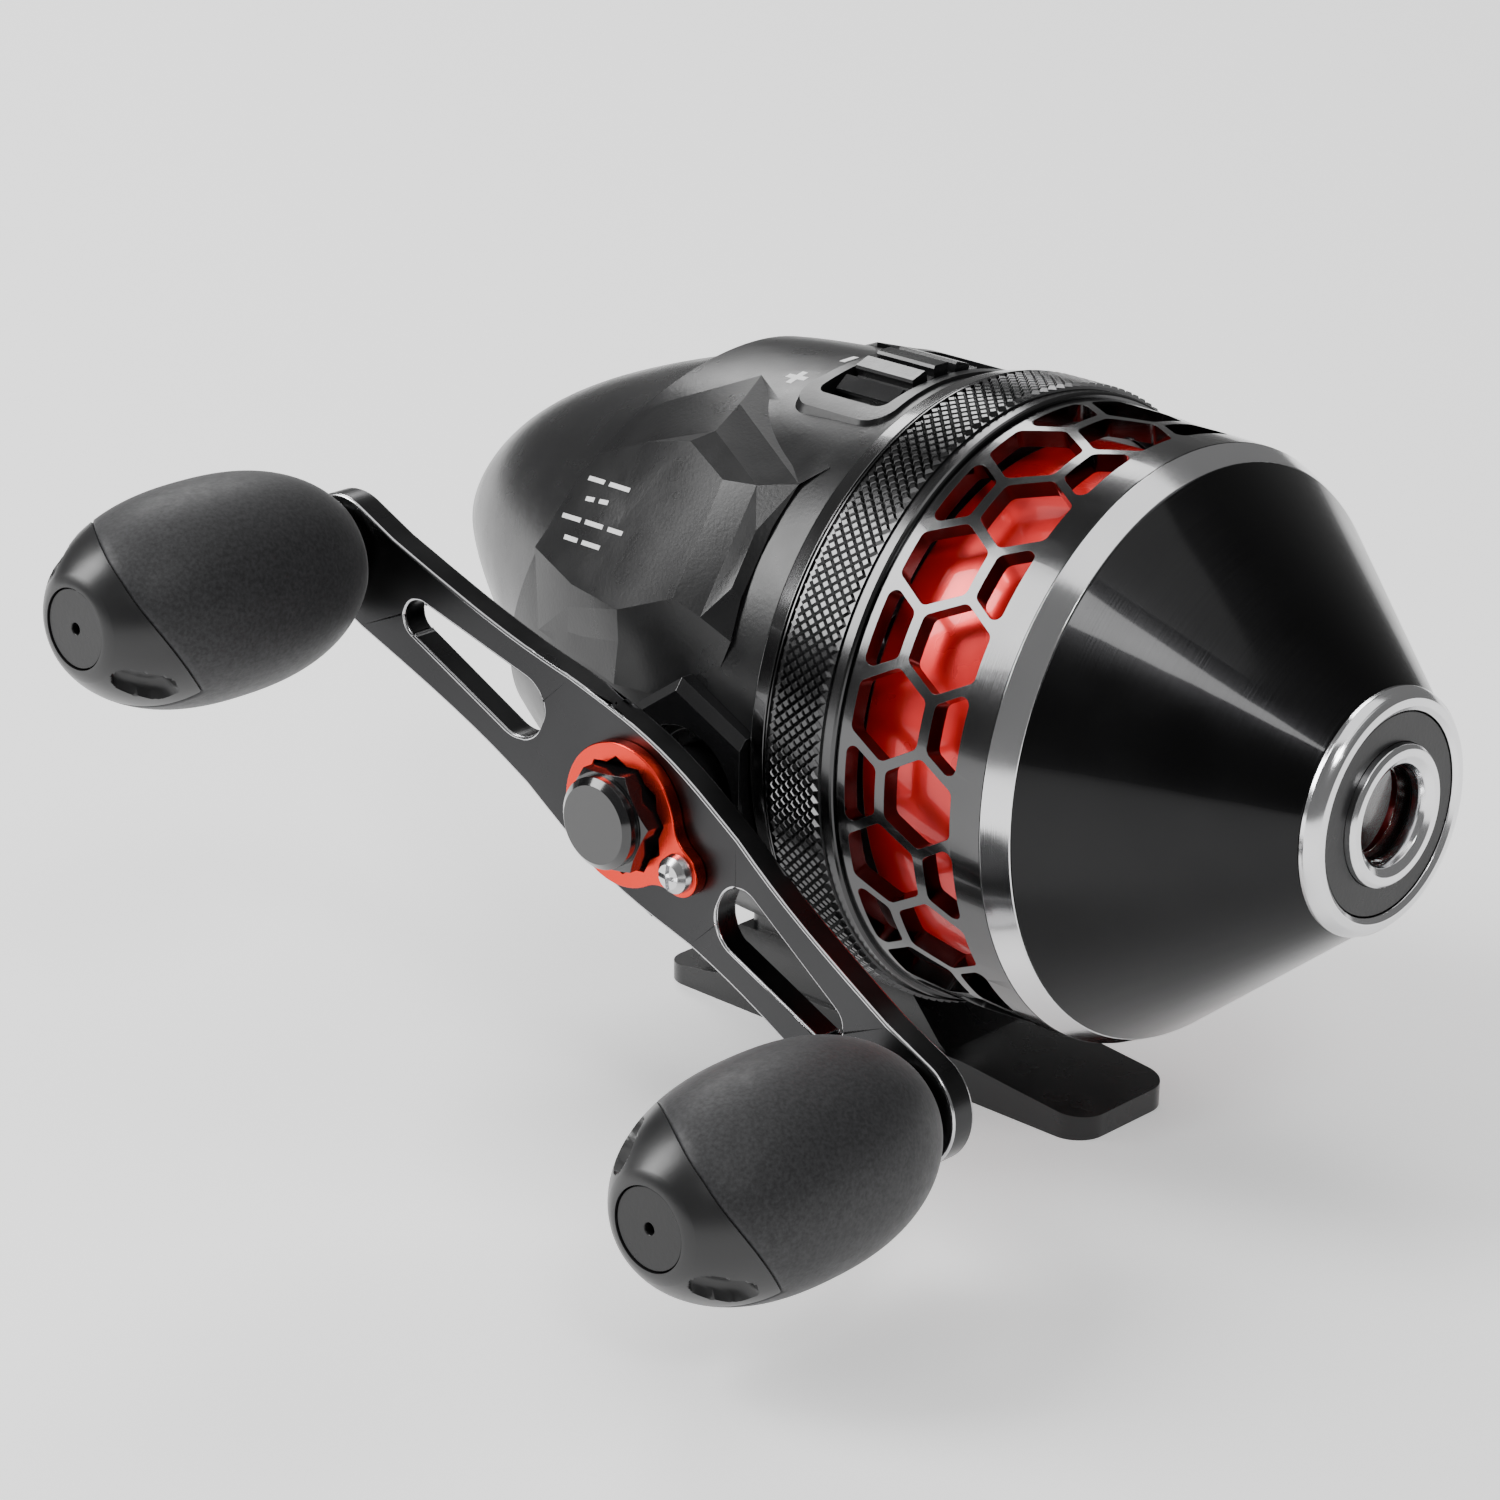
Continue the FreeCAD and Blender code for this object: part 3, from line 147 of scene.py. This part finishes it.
def metal(name, dark, light, rough, stretch, strength):
    """Machined or anodised metal: tool marks as stretched noise, slightly uneven gloss."""
    surface = Surface(name)
    surface.tone(surface.noise(scale=40.0), dark, light)
    surface.gloss(surface.noise(scale=160.0), rough * (1 - METAL_SPREAD), rough * (1 + METAL_SPREAD))
    surface.bump(surface.noise(detail=2.0, stretch=stretch), strength, 0.03 * MM)
    surface.put(Metallic=1.0)
    return surface.material


def turned(name, dark, light, rough, strength, anisotropic, coat=0.0, metallic=1.0):
    """Metal turned on a lathe: fine rings about the reel's axis, and the stretched gloss they give."""
    surface = Surface(name)
    surface.tone(surface.noise(scale=40.0), dark, light)
    surface.gloss(surface.noise(scale=150.0), rough * (1 - METAL_SPREAD), rough * (1 + METAL_SPREAD))
    surface.bump(surface.noise(detail=2.0, stretch=LATHE_RINGS), strength, 0.02 * MM)
    surface.put(Metallic=metallic, Anisotropic=anisotropic, Coat_Weight=coat, Coat_Roughness=0.05)
    tangent = surface.add("ShaderNodeTangent", direction_type="RADIAL", axis="Y")
    surface.link(tangent.outputs["Tangent"], surface.shader.inputs["Tangent"])
    return surface.material


def soft_touch(name):
    """Rubbery coating of the knobs: dense fine speckle, dull, with a soft edge sheen."""
    surface = Surface(name)
    surface.tone(surface.noise(scale=SPECKLE, detail=2.0), (0.008, 0.008, 0.009), (0.026, 0.026, 0.028))
    surface.gloss(surface.noise(scale=900.0), 0.5, 0.6)
    surface.bump(surface.noise(scale=SPECKLE, detail=2.0), 0.35, 0.05 * MM)
    surface.put(Sheen_Weight=0.12, Sheen_Roughness=0.4, Specular_IOR_Level=0.42)
    return surface.material


def clear_line(name):
    """Wound monofilament: glossy, slightly see-through, ribbed by its turns."""
    surface = Surface(name)
    surface.tone(surface.noise(scale=90.0), (0.5, 0.56, 0.53), (0.66, 0.7, 0.67))
    surface.bump(surface.noise(detail=1.0, stretch=LINE_TURNS), 0.6, 0.1 * MM)
    surface.put(Roughness=0.25, Transmission_Weight=0.25, Coat_Weight=0.4)
    return surface.material


def printed(name):
    """White pad print, a little uneven."""
    surface = Surface(name)
    surface.tone(surface.noise(scale=500.0), (0.72, 0.72, 0.72), (0.86, 0.86, 0.86))
    surface.bump(surface.noise(scale=1500.0), 0.2, 0.02 * MM)
    surface.put(Roughness=0.5)
    return surface.material


MATTE = plastic("matte_black", (0.006, 0.006, 0.0064), (0.0095, 0.0095, 0.01),
                rough=0.3, grain=2400.0, strength=0.2, specular=0.36)
GLOSS = plastic("gloss_black", (0.005, 0.005, 0.0055), (0.008, 0.008, 0.0085),
                rough=0.16, grain=1500.0, strength=0.03, coat=0.6)
SATIN = plastic("satin_black", (0.007, 0.007, 0.0075), (0.011, 0.011, 0.0115),
                rough=0.26, grain=2000.0, strength=0.12)
CAP = plastic("cap_black", (0.009, 0.009, 0.0095), (0.013, 0.013, 0.0135),
              rough=0.33, grain=1800.0, strength=0.06)
NYLON = plastic("nylon_white", (0.62, 0.62, 0.58), (0.72, 0.72, 0.68),
                rough=0.45, grain=900.0, strength=0.15)
ANODISED = turned("anodised_black", (0.009, 0.009, 0.0095), (0.015, 0.015, 0.0155),
                  rough=0.2, strength=0.35, anisotropic=0.55, coat=0.3)
SKIRT = turned("anodised_skirt", (0.06, 0.06, 0.061), (0.085, 0.085, 0.086),
               rough=0.17, strength=0.2, anisotropic=0.35, coat=0.5)
BRIGHT = turned("bright_metal", (0.70, 0.70, 0.71), (0.84, 0.84, 0.85),
                rough=0.13, strength=0.3, anisotropic=0.5)
RED_HEAD = turned("red_spinner", (0.80, 0.010, 0.012), (0.92, 0.022, 0.022),
                  rough=0.3, strength=0.45, anisotropic=0.5, coat=0.5, metallic=0.4)
KNURL = metal("anodised_knurl", (0.06, 0.06, 0.061), (0.10, 0.10, 0.101),
              rough=0.2, stretch=even(900.0), strength=0.1)
ARM = metal("arm_grey", (0.032, 0.032, 0.033), (0.045, 0.045, 0.046),
            rough=0.3, stretch=(500.0, 2600.0, 2600.0), strength=0.18)
# Light grey metal on the crank arm's bevelled edges: a painted highlight along them.
ARM_EDGE_HIGHLIGHT = metal("arm_edge_painted_highlight", (0.45, 0.45, 0.46), (0.6, 0.6, 0.61),
                 rough=0.18, stretch=even(900.0), strength=0.1)
STEEL = metal("steel", (0.5, 0.5, 0.51), (0.66, 0.66, 0.67),
              rough=0.24, stretch=even(900.0), strength=0.15)
DECK = metal("deck_metal", (0.42, 0.42, 0.43), (0.52, 0.52, 0.53),
             rough=0.42, stretch=even(1200.0), strength=0.3)
BRASS = metal("brass", (0.56, 0.38, 0.14), (0.70, 0.50, 0.22),
              rough=0.28, stretch=even(900.0), strength=0.2)
RED = metal("red_anodised", (0.62, 0.030, 0.018), (0.78, 0.050, 0.030),
            rough=0.26, stretch=even(700.0), strength=0.2)
SOFT = soft_touch("soft_touch")
LINE = clear_line("line_clear")
PRINT = printed("pad_print")

# Finish of each material slot, and of the nodes that differ from their slot.
FINISH = {
    "matte_black": MATTE, "gloss_black": GLOSS, "anodised_black": ANODISED, "arm_grey": ARM,
    "bright_metal": BRIGHT, "steel": STEEL, "red_anodised": RED, "soft_touch": SOFT,
    "deck_metal": DECK, "brass": BRASS, "nylon_white": NYLON, "line_clear": LINE,
}
SPECIAL = {
    "spinner_head": RED_HEAD, "cover_skirt": SKIRT, "foot": SATIN, "drag_wheel": SATIN,
    "thumb_button": SATIN, "collar_ring": SKIRT, "crank_bearing": SATIN, "crank_bushing": SATIN,
    "bearing_spacer": SATIN,
}


# ---- CAD nodes -----------------------------------------------------------------------
# Bevel widths in millimetres, and angles in degrees; a node that isn't named has the first value.
BEVEL_WIDTH = 0.08
BEVEL_WIDTHS = {
    "housing": 0.25, "crank_boss": 0.3, "foot": 0.45, "thumb_button": 0.25, "drag_wheel": 0.15,
    "crank_arm": 0.28, "crank_nut": 0.18, "retainer_plate": 0.16, "retainer_screw": 0.08,
    "cover_skirt": 0.16, "nose_bezel": 0.1, "line_guide": 0.12, "collar_ring": 0.15,
    "bright_ring": 0.12, "cover_cone": 0.15, "knob_disc_rear": 0.12, "knob_disc_front": 0.12,
    "nose_insert": 0.1, "spinner_head": 0.15,
}
BEVEL_ANGLE = 24
BEVEL_ANGLES = {"housing": 14}
SHARP_ANGLE = 30
SHARP_ANGLES = {"housing": 7, "crank_boss": 12}
# Nodes whose bevelled edges get the light grey edge metal, a painted highlight along the edges.
PAINTED_HIGHLIGHT_EDGES = ("crank_arm",)
WELD = 0.002


def dress_cad():
    """Gives each CAD node its finish, soft edges and even shading."""
    slots = {part["node"]: part["material_slot"] for part in frame["record"]["subparts"]}
    for name, node in NODES.items():
        mesh = node.data
        if "custom_normal" in mesh.attributes:
            mesh.attributes.remove(mesh.attributes["custom_normal"])
        mesh.shade_smooth()
        mesh.set_sharp_from_angle(angle=math.radians(SHARP_ANGLES.get(name, SHARP_ANGLE)))
        mesh.materials.clear()
        mesh.materials.append(SPECIAL.get(name, FINISH[slots[name]]))
        weld = node.modifiers.new("weld", "WELD")
        weld.merge_threshold = WELD * MM
        bevel = node.modifiers.new("soft_edges", "BEVEL")
        bevel.width = BEVEL_WIDTHS.get(name, BEVEL_WIDTH) * MM
        bevel.segments = 2
        bevel.limit_method = "ANGLE"
        bevel.angle_limit = math.radians(BEVEL_ANGLES.get(name, BEVEL_ANGLE))
        bevel.use_clamp_overlap = name not in PAINTED_HIGHLIGHT_EDGES
        bevel.harden_normals = True
        # The bevel's faces take the light grey edge metal: a painted highlight along the arm's edges.
        if name in PAINTED_HIGHLIGHT_EDGES:
            mesh.materials.append(ARM_EDGE_HIGHLIGHT)
            bevel.material = 1


# ---- mesh pieces ---------------------------------------------------------------------
def add_piece(name, build, material, body, sharp_angle=None):
    """Makes a piece of a bmesh; it is flat shaded unless an angle for its sharp edges is given."""
    bmesh.ops.recalc_face_normals(build, faces=build.faces)
    mesh = bpy.data.meshes.new(name)
    build.to_mesh(mesh)
    build.free()
    if sharp_angle:
        mesh.shade_smooth()
        mesh.set_sharp_from_angle(angle=math.radians(sharp_angle))
    mesh.materials.append(material)
    piece = bpy.data.objects.new(name, mesh)
    bpy.context.scene.collection.objects.link(piece)
    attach(piece, body)
    return piece


# ---- grip ring -----------------------------------------------------------------------
KNURL_AROUND = 158              # diamonds round the ring
KNURL_LEVELS = 10               # half diamonds along the band
KNURL_DEPTH = 0.36 * MM
KNURL_FLAT = 0.56               # width of a diamond's flat top as a share of the diamond
KNURL_SHARP = 22
RING_WALL = 1.95 * MM
RING_CHAMFER = 0.3 * MM
BACK_DROP = 0.1 * MM            # from the diamonds' tops down to the plain rim behind them
SHOULDER = 1.5 * MM             # plain stretch in front of the diamonds
SHOULDER_DROP = 0.6 * MM
BACK_STEP = 0.03 * MM           # length of the step from the grooves up to the rim
FRONT_STEP = 0.05 * MM          # length of the step from the grooves down to the shoulder
BACK_ROUND = 0.12 * MM
FRONT_ROUND = 0.12 * MM
FRONT_ROUND_LENGTH = 0.1 * MM


def knurled_ring():
    """Grip ring: a band of flat-topped diamonds between crossed grooves, with a plain shoulder."""
    outer = RING_HIGH[2] - AXIS_Z
    inner = outer - RING_WALL
    plain = outer - SHOULDER_DROP
    rim = outer - BACK_DROP
    front = RING_LOW[1]
    back = RING_HIGH[1]
    first = back - RING_CHAMFER
    step = (first - front - SHOULDER) / KNURL_LEVELS
    last = first - step * KNURL_LEVELS
    build = bmesh.new()

    def vertex(turn, y, radius):
        angle = math.tau * turn / KNURL_AROUND
        return build.verts.new((radius * math.cos(angle), y, AXIS_Z + radius * math.sin(angle)))

    # The lattice lies at the bottom of the grooves, and every other level is half a diamond on.
    base = [[vertex(k + (level % 2) / 2, first - step * level, outer - KNURL_DEPTH)
             for k in range(KNURL_AROUND)] for level in range(KNURL_LEVELS + 1)]

    def diamond(level, k):
        middle = k + (level % 2) / 2 + 0.5
        y = first - step * level
        beside = (k + level % 2) % KNURL_AROUND
        tops = [vertex(middle - KNURL_FLAT / 2, y, outer), vertex(middle, y + step * KNURL_FLAT, outer),
                vertex(middle + KNURL_FLAT / 2, y, outer), vertex(middle, y - step * KNURL_FLAT, outer)]
        feet = [base[level][k], base[level - 1][beside],
                base[level][(k + 1) % KNURL_AROUND], base[level + 1][beside]]
        build.faces.new(tops)
        for side in range(4):
            after = (side + 1) % 4
            build.faces.new((feet[side], feet[after], tops[after], tops[side]))

    def plain_rows(row, profile):
        for radius, y in profile:
            following = [vertex(k, y, radius) for k in range(KNURL_AROUND)]
            for k in range(KNURL_AROUND):
                after = (k + 1) % KNURL_AROUND
                build.faces.new((row[k], row[after], following[after], following[k]))
            row = following

    for level in range(1, KNURL_LEVELS):
        for k in range(KNURL_AROUND):
            diamond(level, k)
    for level, inside in ((0, 1), (KNURL_LEVELS, KNURL_LEVELS - 1)):
        for k in range(KNURL_AROUND):
            build.faces.new((base[level][k], base[level][(k + 1) % KNURL_AROUND], base[inside][k]))
    plain_rows(base[0], [(rim, first + BACK_STEP), (rim, back - BACK_ROUND),
                         (outer - RING_CHAMFER, back), (inner, back)])
    plain_rows(base[KNURL_LEVELS], [(plain, last - FRONT_STEP), (plain, front + RING_CHAMFER),
                                    (plain - FRONT_ROUND, front + FRONT_ROUND_LENGTH),
                                    (plain - RING_CHAMFER, front), (inner, front), (inner, back)])
    bmesh.ops.remove_doubles(build, verts=build.verts, dist=0.001 * MM)
    piece = add_piece("knurl", build, KNURL, "front_cover", KNURL_SHARP)
    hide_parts("knurled_ring")


# ---- knobs ---------------------------------------------------------------------------
# A share is a place along the knob's axis: 0 at its base, 1 at its outer end.
KNOB_PARTS = 240
KNOB_ANGLES = [math.tau * k / KNOB_PARTS for k in range(KNOB_PARTS)]
KNOB_SHARP = 50
KNOB_FROM = -0.93               # the outline is this part of a rounded barrel, whose ends are -1 and 1
KNOB_SPAN = 1.85
KNOB_POWER = 2.4
KNOB_INSET = 0.01 * MM          # keeps the outline just inside the CAD grip
KNOB_BORE = 3.05 * MM
BASE_GAP = 1.5 * MM             # from the knob's base, behind the grip, to the grip's edge
BASE_SINK = 0.35 * MM
GRIP_STEPS = 40
CAP_STEPS = 56
CAP_LAST = 0.985                # share at which the cap's side turns in
CAP_FACE = 0.998
CAP_FACE_INSET = 0.25 * MM
DISC_HOLE = 4.22 * MM
DISC_EDGE = 0.999
DISC_FLOOR = 0.95
SCALLOP_ANGLE = math.radians(40)
SCALLOP_SHARE = 0.892
SCALLOP_STRAIGHT = 1.0 * MM     # half the length of its straight middle
SCALLOP_RADIUS = 1.8 * MM
SEAM_HIGH = 0.93
SEAM_DIP = 0.20
SEAM_POWER = 1.2
SEAM_SINK = 0.22 * MM           # depth of the groove along the seam
GRIP_EDGE = 0.012               # shares over which the edges of the grip and the cap turn in
GRIP_SEAM_EDGE = 0.006
CAP_SEAM_EDGE = 0.005


def seam(angle):
    """Share at which the grip meets the cap: lowest at the scallops, highest between them."""
    return SEAM_HIGH - SEAM_DIP * (1 - abs(math.sin(angle - SCALLOP_ANGLE))) ** SEAM_POWER


class KnobShape:
    """Outline of one knob about its axis, along X, from the boxes of its CAD grip and cap."""

    def __init__(self, tag):
        grip_low, grip_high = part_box("knob_grip_" + tag)
        cap_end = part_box("knob_cap_" + tag)[0][0]
        self.centre_y = (grip_low[1] + grip_high[1]) / 2
        self.centre_z = (grip_low[2] + grip_high[2]) / 2
        self.radius = (grip_high[1] - grip_low[1]) / 2 - KNOB_INSET
        self.base = grip_high[0] + BASE_GAP
        self.length = self.base - cap_end

    def profile(self, share):
        """Radius at a share: a barrel, widest near the middle."""
        across = KNOB_FROM + KNOB_SPAN * min(max(share, 0.0), 1.0)
        return self.radius * math.sqrt(1 - abs(across) ** KNOB_POWER)

    def scallop(self, share, angle):
        """Depth of the two finger dents, on opposite sides of the cap."""
        turn = (angle - SCALLOP_ANGLE + math.pi / 2) % math.pi - math.pi / 2
        side = turn * self.profile(share)
        beyond = max(0.0, abs(share - SCALLOP_SHARE) * self.length - SCALLOP_STRAIGHT)
        reach = math.hypot(beyond, side) / SCALLOP_RADIUS
        return SCALLOP_RADIUS * max(0.0, 1 - reach ** 4) ** 0.5

    def point(self, share, angle, sink=0.0, size=None):
        """Point on the outline, or under it, or at another radius."""
        reach = (self.profile(share) if size is None else size) - sink
        return (self.base - self.length * share,
                self.centre_y + reach * math.cos(angle),
                self.centre_z + reach * math.sin(angle))

    def ring(self, share, sink=0.0, size=None):
        return [self.point(share, angle, sink, size) for angle in KNOB_ANGLES]

    def seam_ring(self, sink=0.0, size=None):
        return [self.point(seam(angle), angle, sink, size) for angle in KNOB_ANGLES]


def lathe_piece(name, rows, material, body):
    """Mesh through rows of points; each row is a ring round the piece."""
    build = bmesh.new()
    lines = [[build.verts.new(point) for point in row] for row in rows]
    for low, high in zip(lines, lines[1:]):
        for index in range(len(low)):
            after = (index + 1) % len(low)
            build.faces.new((low[index], low[after], high[after], high[index]))
    return add_piece(name, build, material, body, KNOB_SHARP)


def knob_grip(tag, shape):
    """Soft grip, from its edge near the base to the wavy seam, with a bore for the bushing."""
    start = BASE_GAP / shape.length
    rows = [shape.ring(start, size=KNOB_BORE), shape.ring(start, sink=BASE_SINK)]
    first = start + GRIP_EDGE
    for step in range(GRIP_STEPS + 1):
        rows.append([shape.point(first + (seam(angle) - GRIP_SEAM_EDGE - first) * step / GRIP_STEPS, angle)
                     for angle in KNOB_ANGLES])
    rows += [shape.seam_ring(sink=SEAM_SINK), shape.seam_ring(size=KNOB_BORE),
             shape.ring(start, size=KNOB_BORE)]
    grip = lathe_piece("grip_" + tag, rows, SOFT, "knob_" + tag)
    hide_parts("knob_grip_" + tag)


def knob_cap(tag, shape):
    """Glossy end cap, from the seam to its face, with two scallops and a recess for the disc."""
    rows = [shape.seam_ring(size=KNOB_BORE), shape.seam_ring(sink=SEAM_SINK)]
    for step in range(CAP_STEPS + 1):
        row = []
        for angle in KNOB_ANGLES:
            first = seam(angle) + CAP_SEAM_EDGE
            share = first + (CAP_LAST - first) * step / CAP_STEPS
            row.append(shape.point(share, angle, sink=shape.scallop(share, angle)))
        rows.append(row)
    rows += [shape.ring(CAP_FACE, sink=CAP_FACE_INSET), shape.ring(DISC_EDGE, size=DISC_HOLE),
             shape.ring(DISC_FLOOR, size=DISC_HOLE), shape.ring(DISC_FLOOR, size=KNOB_BORE),
             shape.seam_ring(size=KNOB_BORE)]
    cap = lathe_piece("cap_" + tag, rows, CAP, "knob_" + tag)
    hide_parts("knob_cap_" + tag)


# ---- printed marks -------------------------------------------------------------------
PRINT_STEPS = 12                # stretches along a bar, so that it follows the surface
PRINT_START = 8.0 * MM          # distance from which its points are dropped
PRINT_LIFT = 0.03 * MM          # half its thickness
MARK_HEIGHT = 31.0 * MM         # above the reel's axis, before the marks are dropped
PLUS_LENGTH = 2.6 * MM
MINUS_LENGTH = 2.2 * MM
MARK_WIDTH = 0.75 * MM
DASH_WIDTH = 0.5 * MM
PANEL_INWARD = (0.82, -0.2, -0.54)
# Rows of dashes on the panel, in millimetres: the gap between dashes, and for each row its middle,
# its direction and the length of each dash.
DASH_GAP = 0.9
DASH_ROWS = [
    ((-22.4, 24.1, 62.4), (-1.7, -8.5, 0.8), (3.0, 3.6)),
    ((-23.4, 24.7, 60.6), (-0.7, -4.0, 0.6), (1.5, 1.5)),
    ((-24.9, 24.1, 58.6), (-2.3, -11.5, 1.1), (3.6, 3.2, 2.6)),
    ((-26.0, 24.6, 56.8), (-1.8, -8.8, 0.8), (2.6, 3.4)),
]


def print_bar(name, tree, centre, along, towards, length, width):
    """Thin printed bar on the housing: its points are dropped onto the surface along a direction."""
    along = Vector(along).normalized()
    towards = Vector(towards).normalized()
    across = along.cross(towards).normalized()
    lift = -towards * PRINT_LIFT
    build = bmesh.new()
    rows = []
    for step in range(PRINT_STEPS + 1):
        row = []
        for side in (-0.5, 0.5):
            shift = along * (length * (step / PRINT_STEPS - 0.5)) + across * (width * side)
            hit = tree.ray_cast(Vector(centre) + shift - towards * PRINT_START, towards)[0]
            row.append((build.verts.new(hit + lift), build.verts.new(hit - lift)))
        rows.append(row)
    for low, high in zip(rows, rows[1:]):
        build.faces.new((low[0][0], low[1][0], high[1][0], high[0][0]))
        for side in (0, 1):
            build.faces.new((low[side][0], low[side][1], high[side][1], high[side][0]))
    for row in (rows[0], rows[-1]):
        build.faces.new((row[0][0], row[1][0], row[1][1], row[0][1]))
    add_piece(name, build, PRINT, "root")


def printed_marks():
    """Plus and minus beside the drag wheel, and plain dashes on the crank-side panel."""
    mesh = NODES["housing"].data
    tree = BVHTree.FromPolygons([vertex.co.copy() for vertex in mesh.vertices],
                                [tuple(polygon.vertices) for polygon in mesh.polygons])
    down = (0, 0, -1)
    top = AXIS_Z + MARK_HEIGHT
    plus = (-7.2 * MM, 12.0 * MM, top)
    minus = (-0.7 * MM, 10.6 * MM, top)
    print_bar("mark_plus_a", tree, plus, (1, 0, 0), down, PLUS_LENGTH, MARK_WIDTH)
    print_bar("mark_plus_b", tree, plus, (0, 1, 0), down, PLUS_LENGTH, MARK_WIDTH)
    print_bar("mark_minus", tree, minus, (1, 0, 0), down, MINUS_LENGTH, MARK_WIDTH)
    for number, (centre, direction, dashes) in enumerate(DASH_ROWS):
        line = Vector(direction).normalized()
        place = -(sum(dashes) + DASH_GAP * (len(dashes) - 1)) / 2
        for index, dash in enumerate(dashes):
            middle = (Vector(centre) + line * (place + dash / 2)) * MM
            print_bar("dash_%d_%d" % (number, index), tree, middle, line, PANEL_INWARD, dash * MM, DASH_WIDTH)
            place += dash + DASH_GAP


# ---- stage, camera and light ---------------------------------------------------------
FLOOR_HALF = 3.0
WHITE = (1, 1, 1, 1)


def floor():
    """Pale floor that glows a little, so that it stays pale under soft light."""
    build = bmesh.new()
    corners = ((-1, -1), (1, -1), (1, 1), (-1, 1))
    build.faces.new([build.verts.new((x * FLOOR_HALF, y * FLOOR_HALF, 0)) for x, y in corners])
    mesh = bpy.data.meshes.new("floor")
    build.to_mesh(mesh)
    build.free()
    surface = Surface("floor")
    surface.put(Base_Color=(0.94, 0.94, 0.94, 1), Roughness=0.6)
    surface.put(Emission_Color=WHITE, Emission_Strength=0.45)
    mesh.materials.append(surface.material)
    piece = bpy.data.objects.new("floor", mesh)
    bpy.context.scene.collection.objects.link(piece)


def camera():
    """Camera at the viewing angle; aside and above are how far its axis passes the target."""
    azimuth = math.radians(-47.172)
    elevation = math.radians(21.224)
    roll = math.radians(1.045)
    distance = 0.46825
    aside = -0.02384
    above = -0.00728
    target = Vector((0, -8.0 * MM, AXIS_Z))
    back = Vector((math.sin(azimuth) * math.cos(elevation), -math.cos(azimuth) * math.cos(elevation),
                   math.sin(elevation)))
    level_right = Vector((0, 0, 1)).cross(back).normalized()
    level_up = back.cross(level_right)
    right = level_right * math.cos(roll) + level_up * math.sin(roll)
    up = level_up * math.cos(roll) - level_right * math.sin(roll)
    data = bpy.data.cameras.new("camera")
    data.lens = 108.0
    data.sensor_width = 36.0
    data.clip_start = 0.01
    item = bpy.data.objects.new("camera", data)
    item.matrix_world = Matrix((right, up, back)).transposed().to_4x4()
    item.location = target + right * aside + up * above + back * distance
    bpy.context.scene.collection.objects.link(item)
    bpy.context.scene.camera = item


def softbox(name, direction, distance, width, height, power):
    """Rectangular studio light aimed at the reel."""
    data = bpy.data.lights.new(name, "AREA")
    data.shape = "RECTANGLE"
    data.size = width
    data.size_y = height
    data.energy = power
    item = bpy.data.objects.new(name, data)
    aim = Vector(direction).normalized()
    item.location = Vector((0, 0, AXIS_Z)) + aim * distance
    item.rotation_euler = aim.to_track_quat("Z", "Y").to_euler()
    bpy.context.scene.collection.objects.link(item)


def studio():
    """Four soft lights in a white world, which lights the reel less than it shows."""
    world = bpy.data.worlds.new("studio")
    bpy.context.scene.world = world
    world.use_nodes = True
    tree = world.node_tree
    lighting = tree.nodes["Background"]
    lighting.inputs["Color"].default_value = WHITE
    lighting.inputs["Strength"].default_value = 0.2
    shown = tree.nodes.new("ShaderNodeBackground")
    shown.inputs["Color"].default_value = WHITE
    shown.inputs["Strength"].default_value = 1.0
    path = tree.nodes.new("ShaderNodeLightPath")
    mix = tree.nodes.new("ShaderNodeMixShader")
    tree.links.new(path.outputs["Is Camera Ray"], mix.inputs["Fac"])
    tree.links.new(lighting.outputs["Background"], mix.inputs[1])
    tree.links.new(shown.outputs["Background"], mix.inputs[2])
    tree.links.new(mix.outputs["Shader"], tree.nodes["World Output"].inputs["Surface"])
    softbox("left_back", (-0.535, 0.595, 0.60), distance=1.5, width=0.62, height=1.0, power=26.0)
    softbox("right_back", (0.435, 0.652, 0.621), distance=1.5, width=0.55, height=0.45, power=8.0)
    softbox("front_top", (-0.36, -0.6, 0.72), distance=1.5, width=0.32, height=0.32, power=5.0)
    softbox("overhead", (0.05, -0.1, 1.0), distance=2.0, width=2.0, height=2.0, power=17.0)


dress_cad()
knurled_ring()
for knob_tag in ("rear", "front"):
    knob_shape = KnobShape(knob_tag)
    knob_grip(knob_tag, knob_shape)
    knob_cap(knob_tag, knob_shape)
printed_marks()
floor()
camera()
studio()
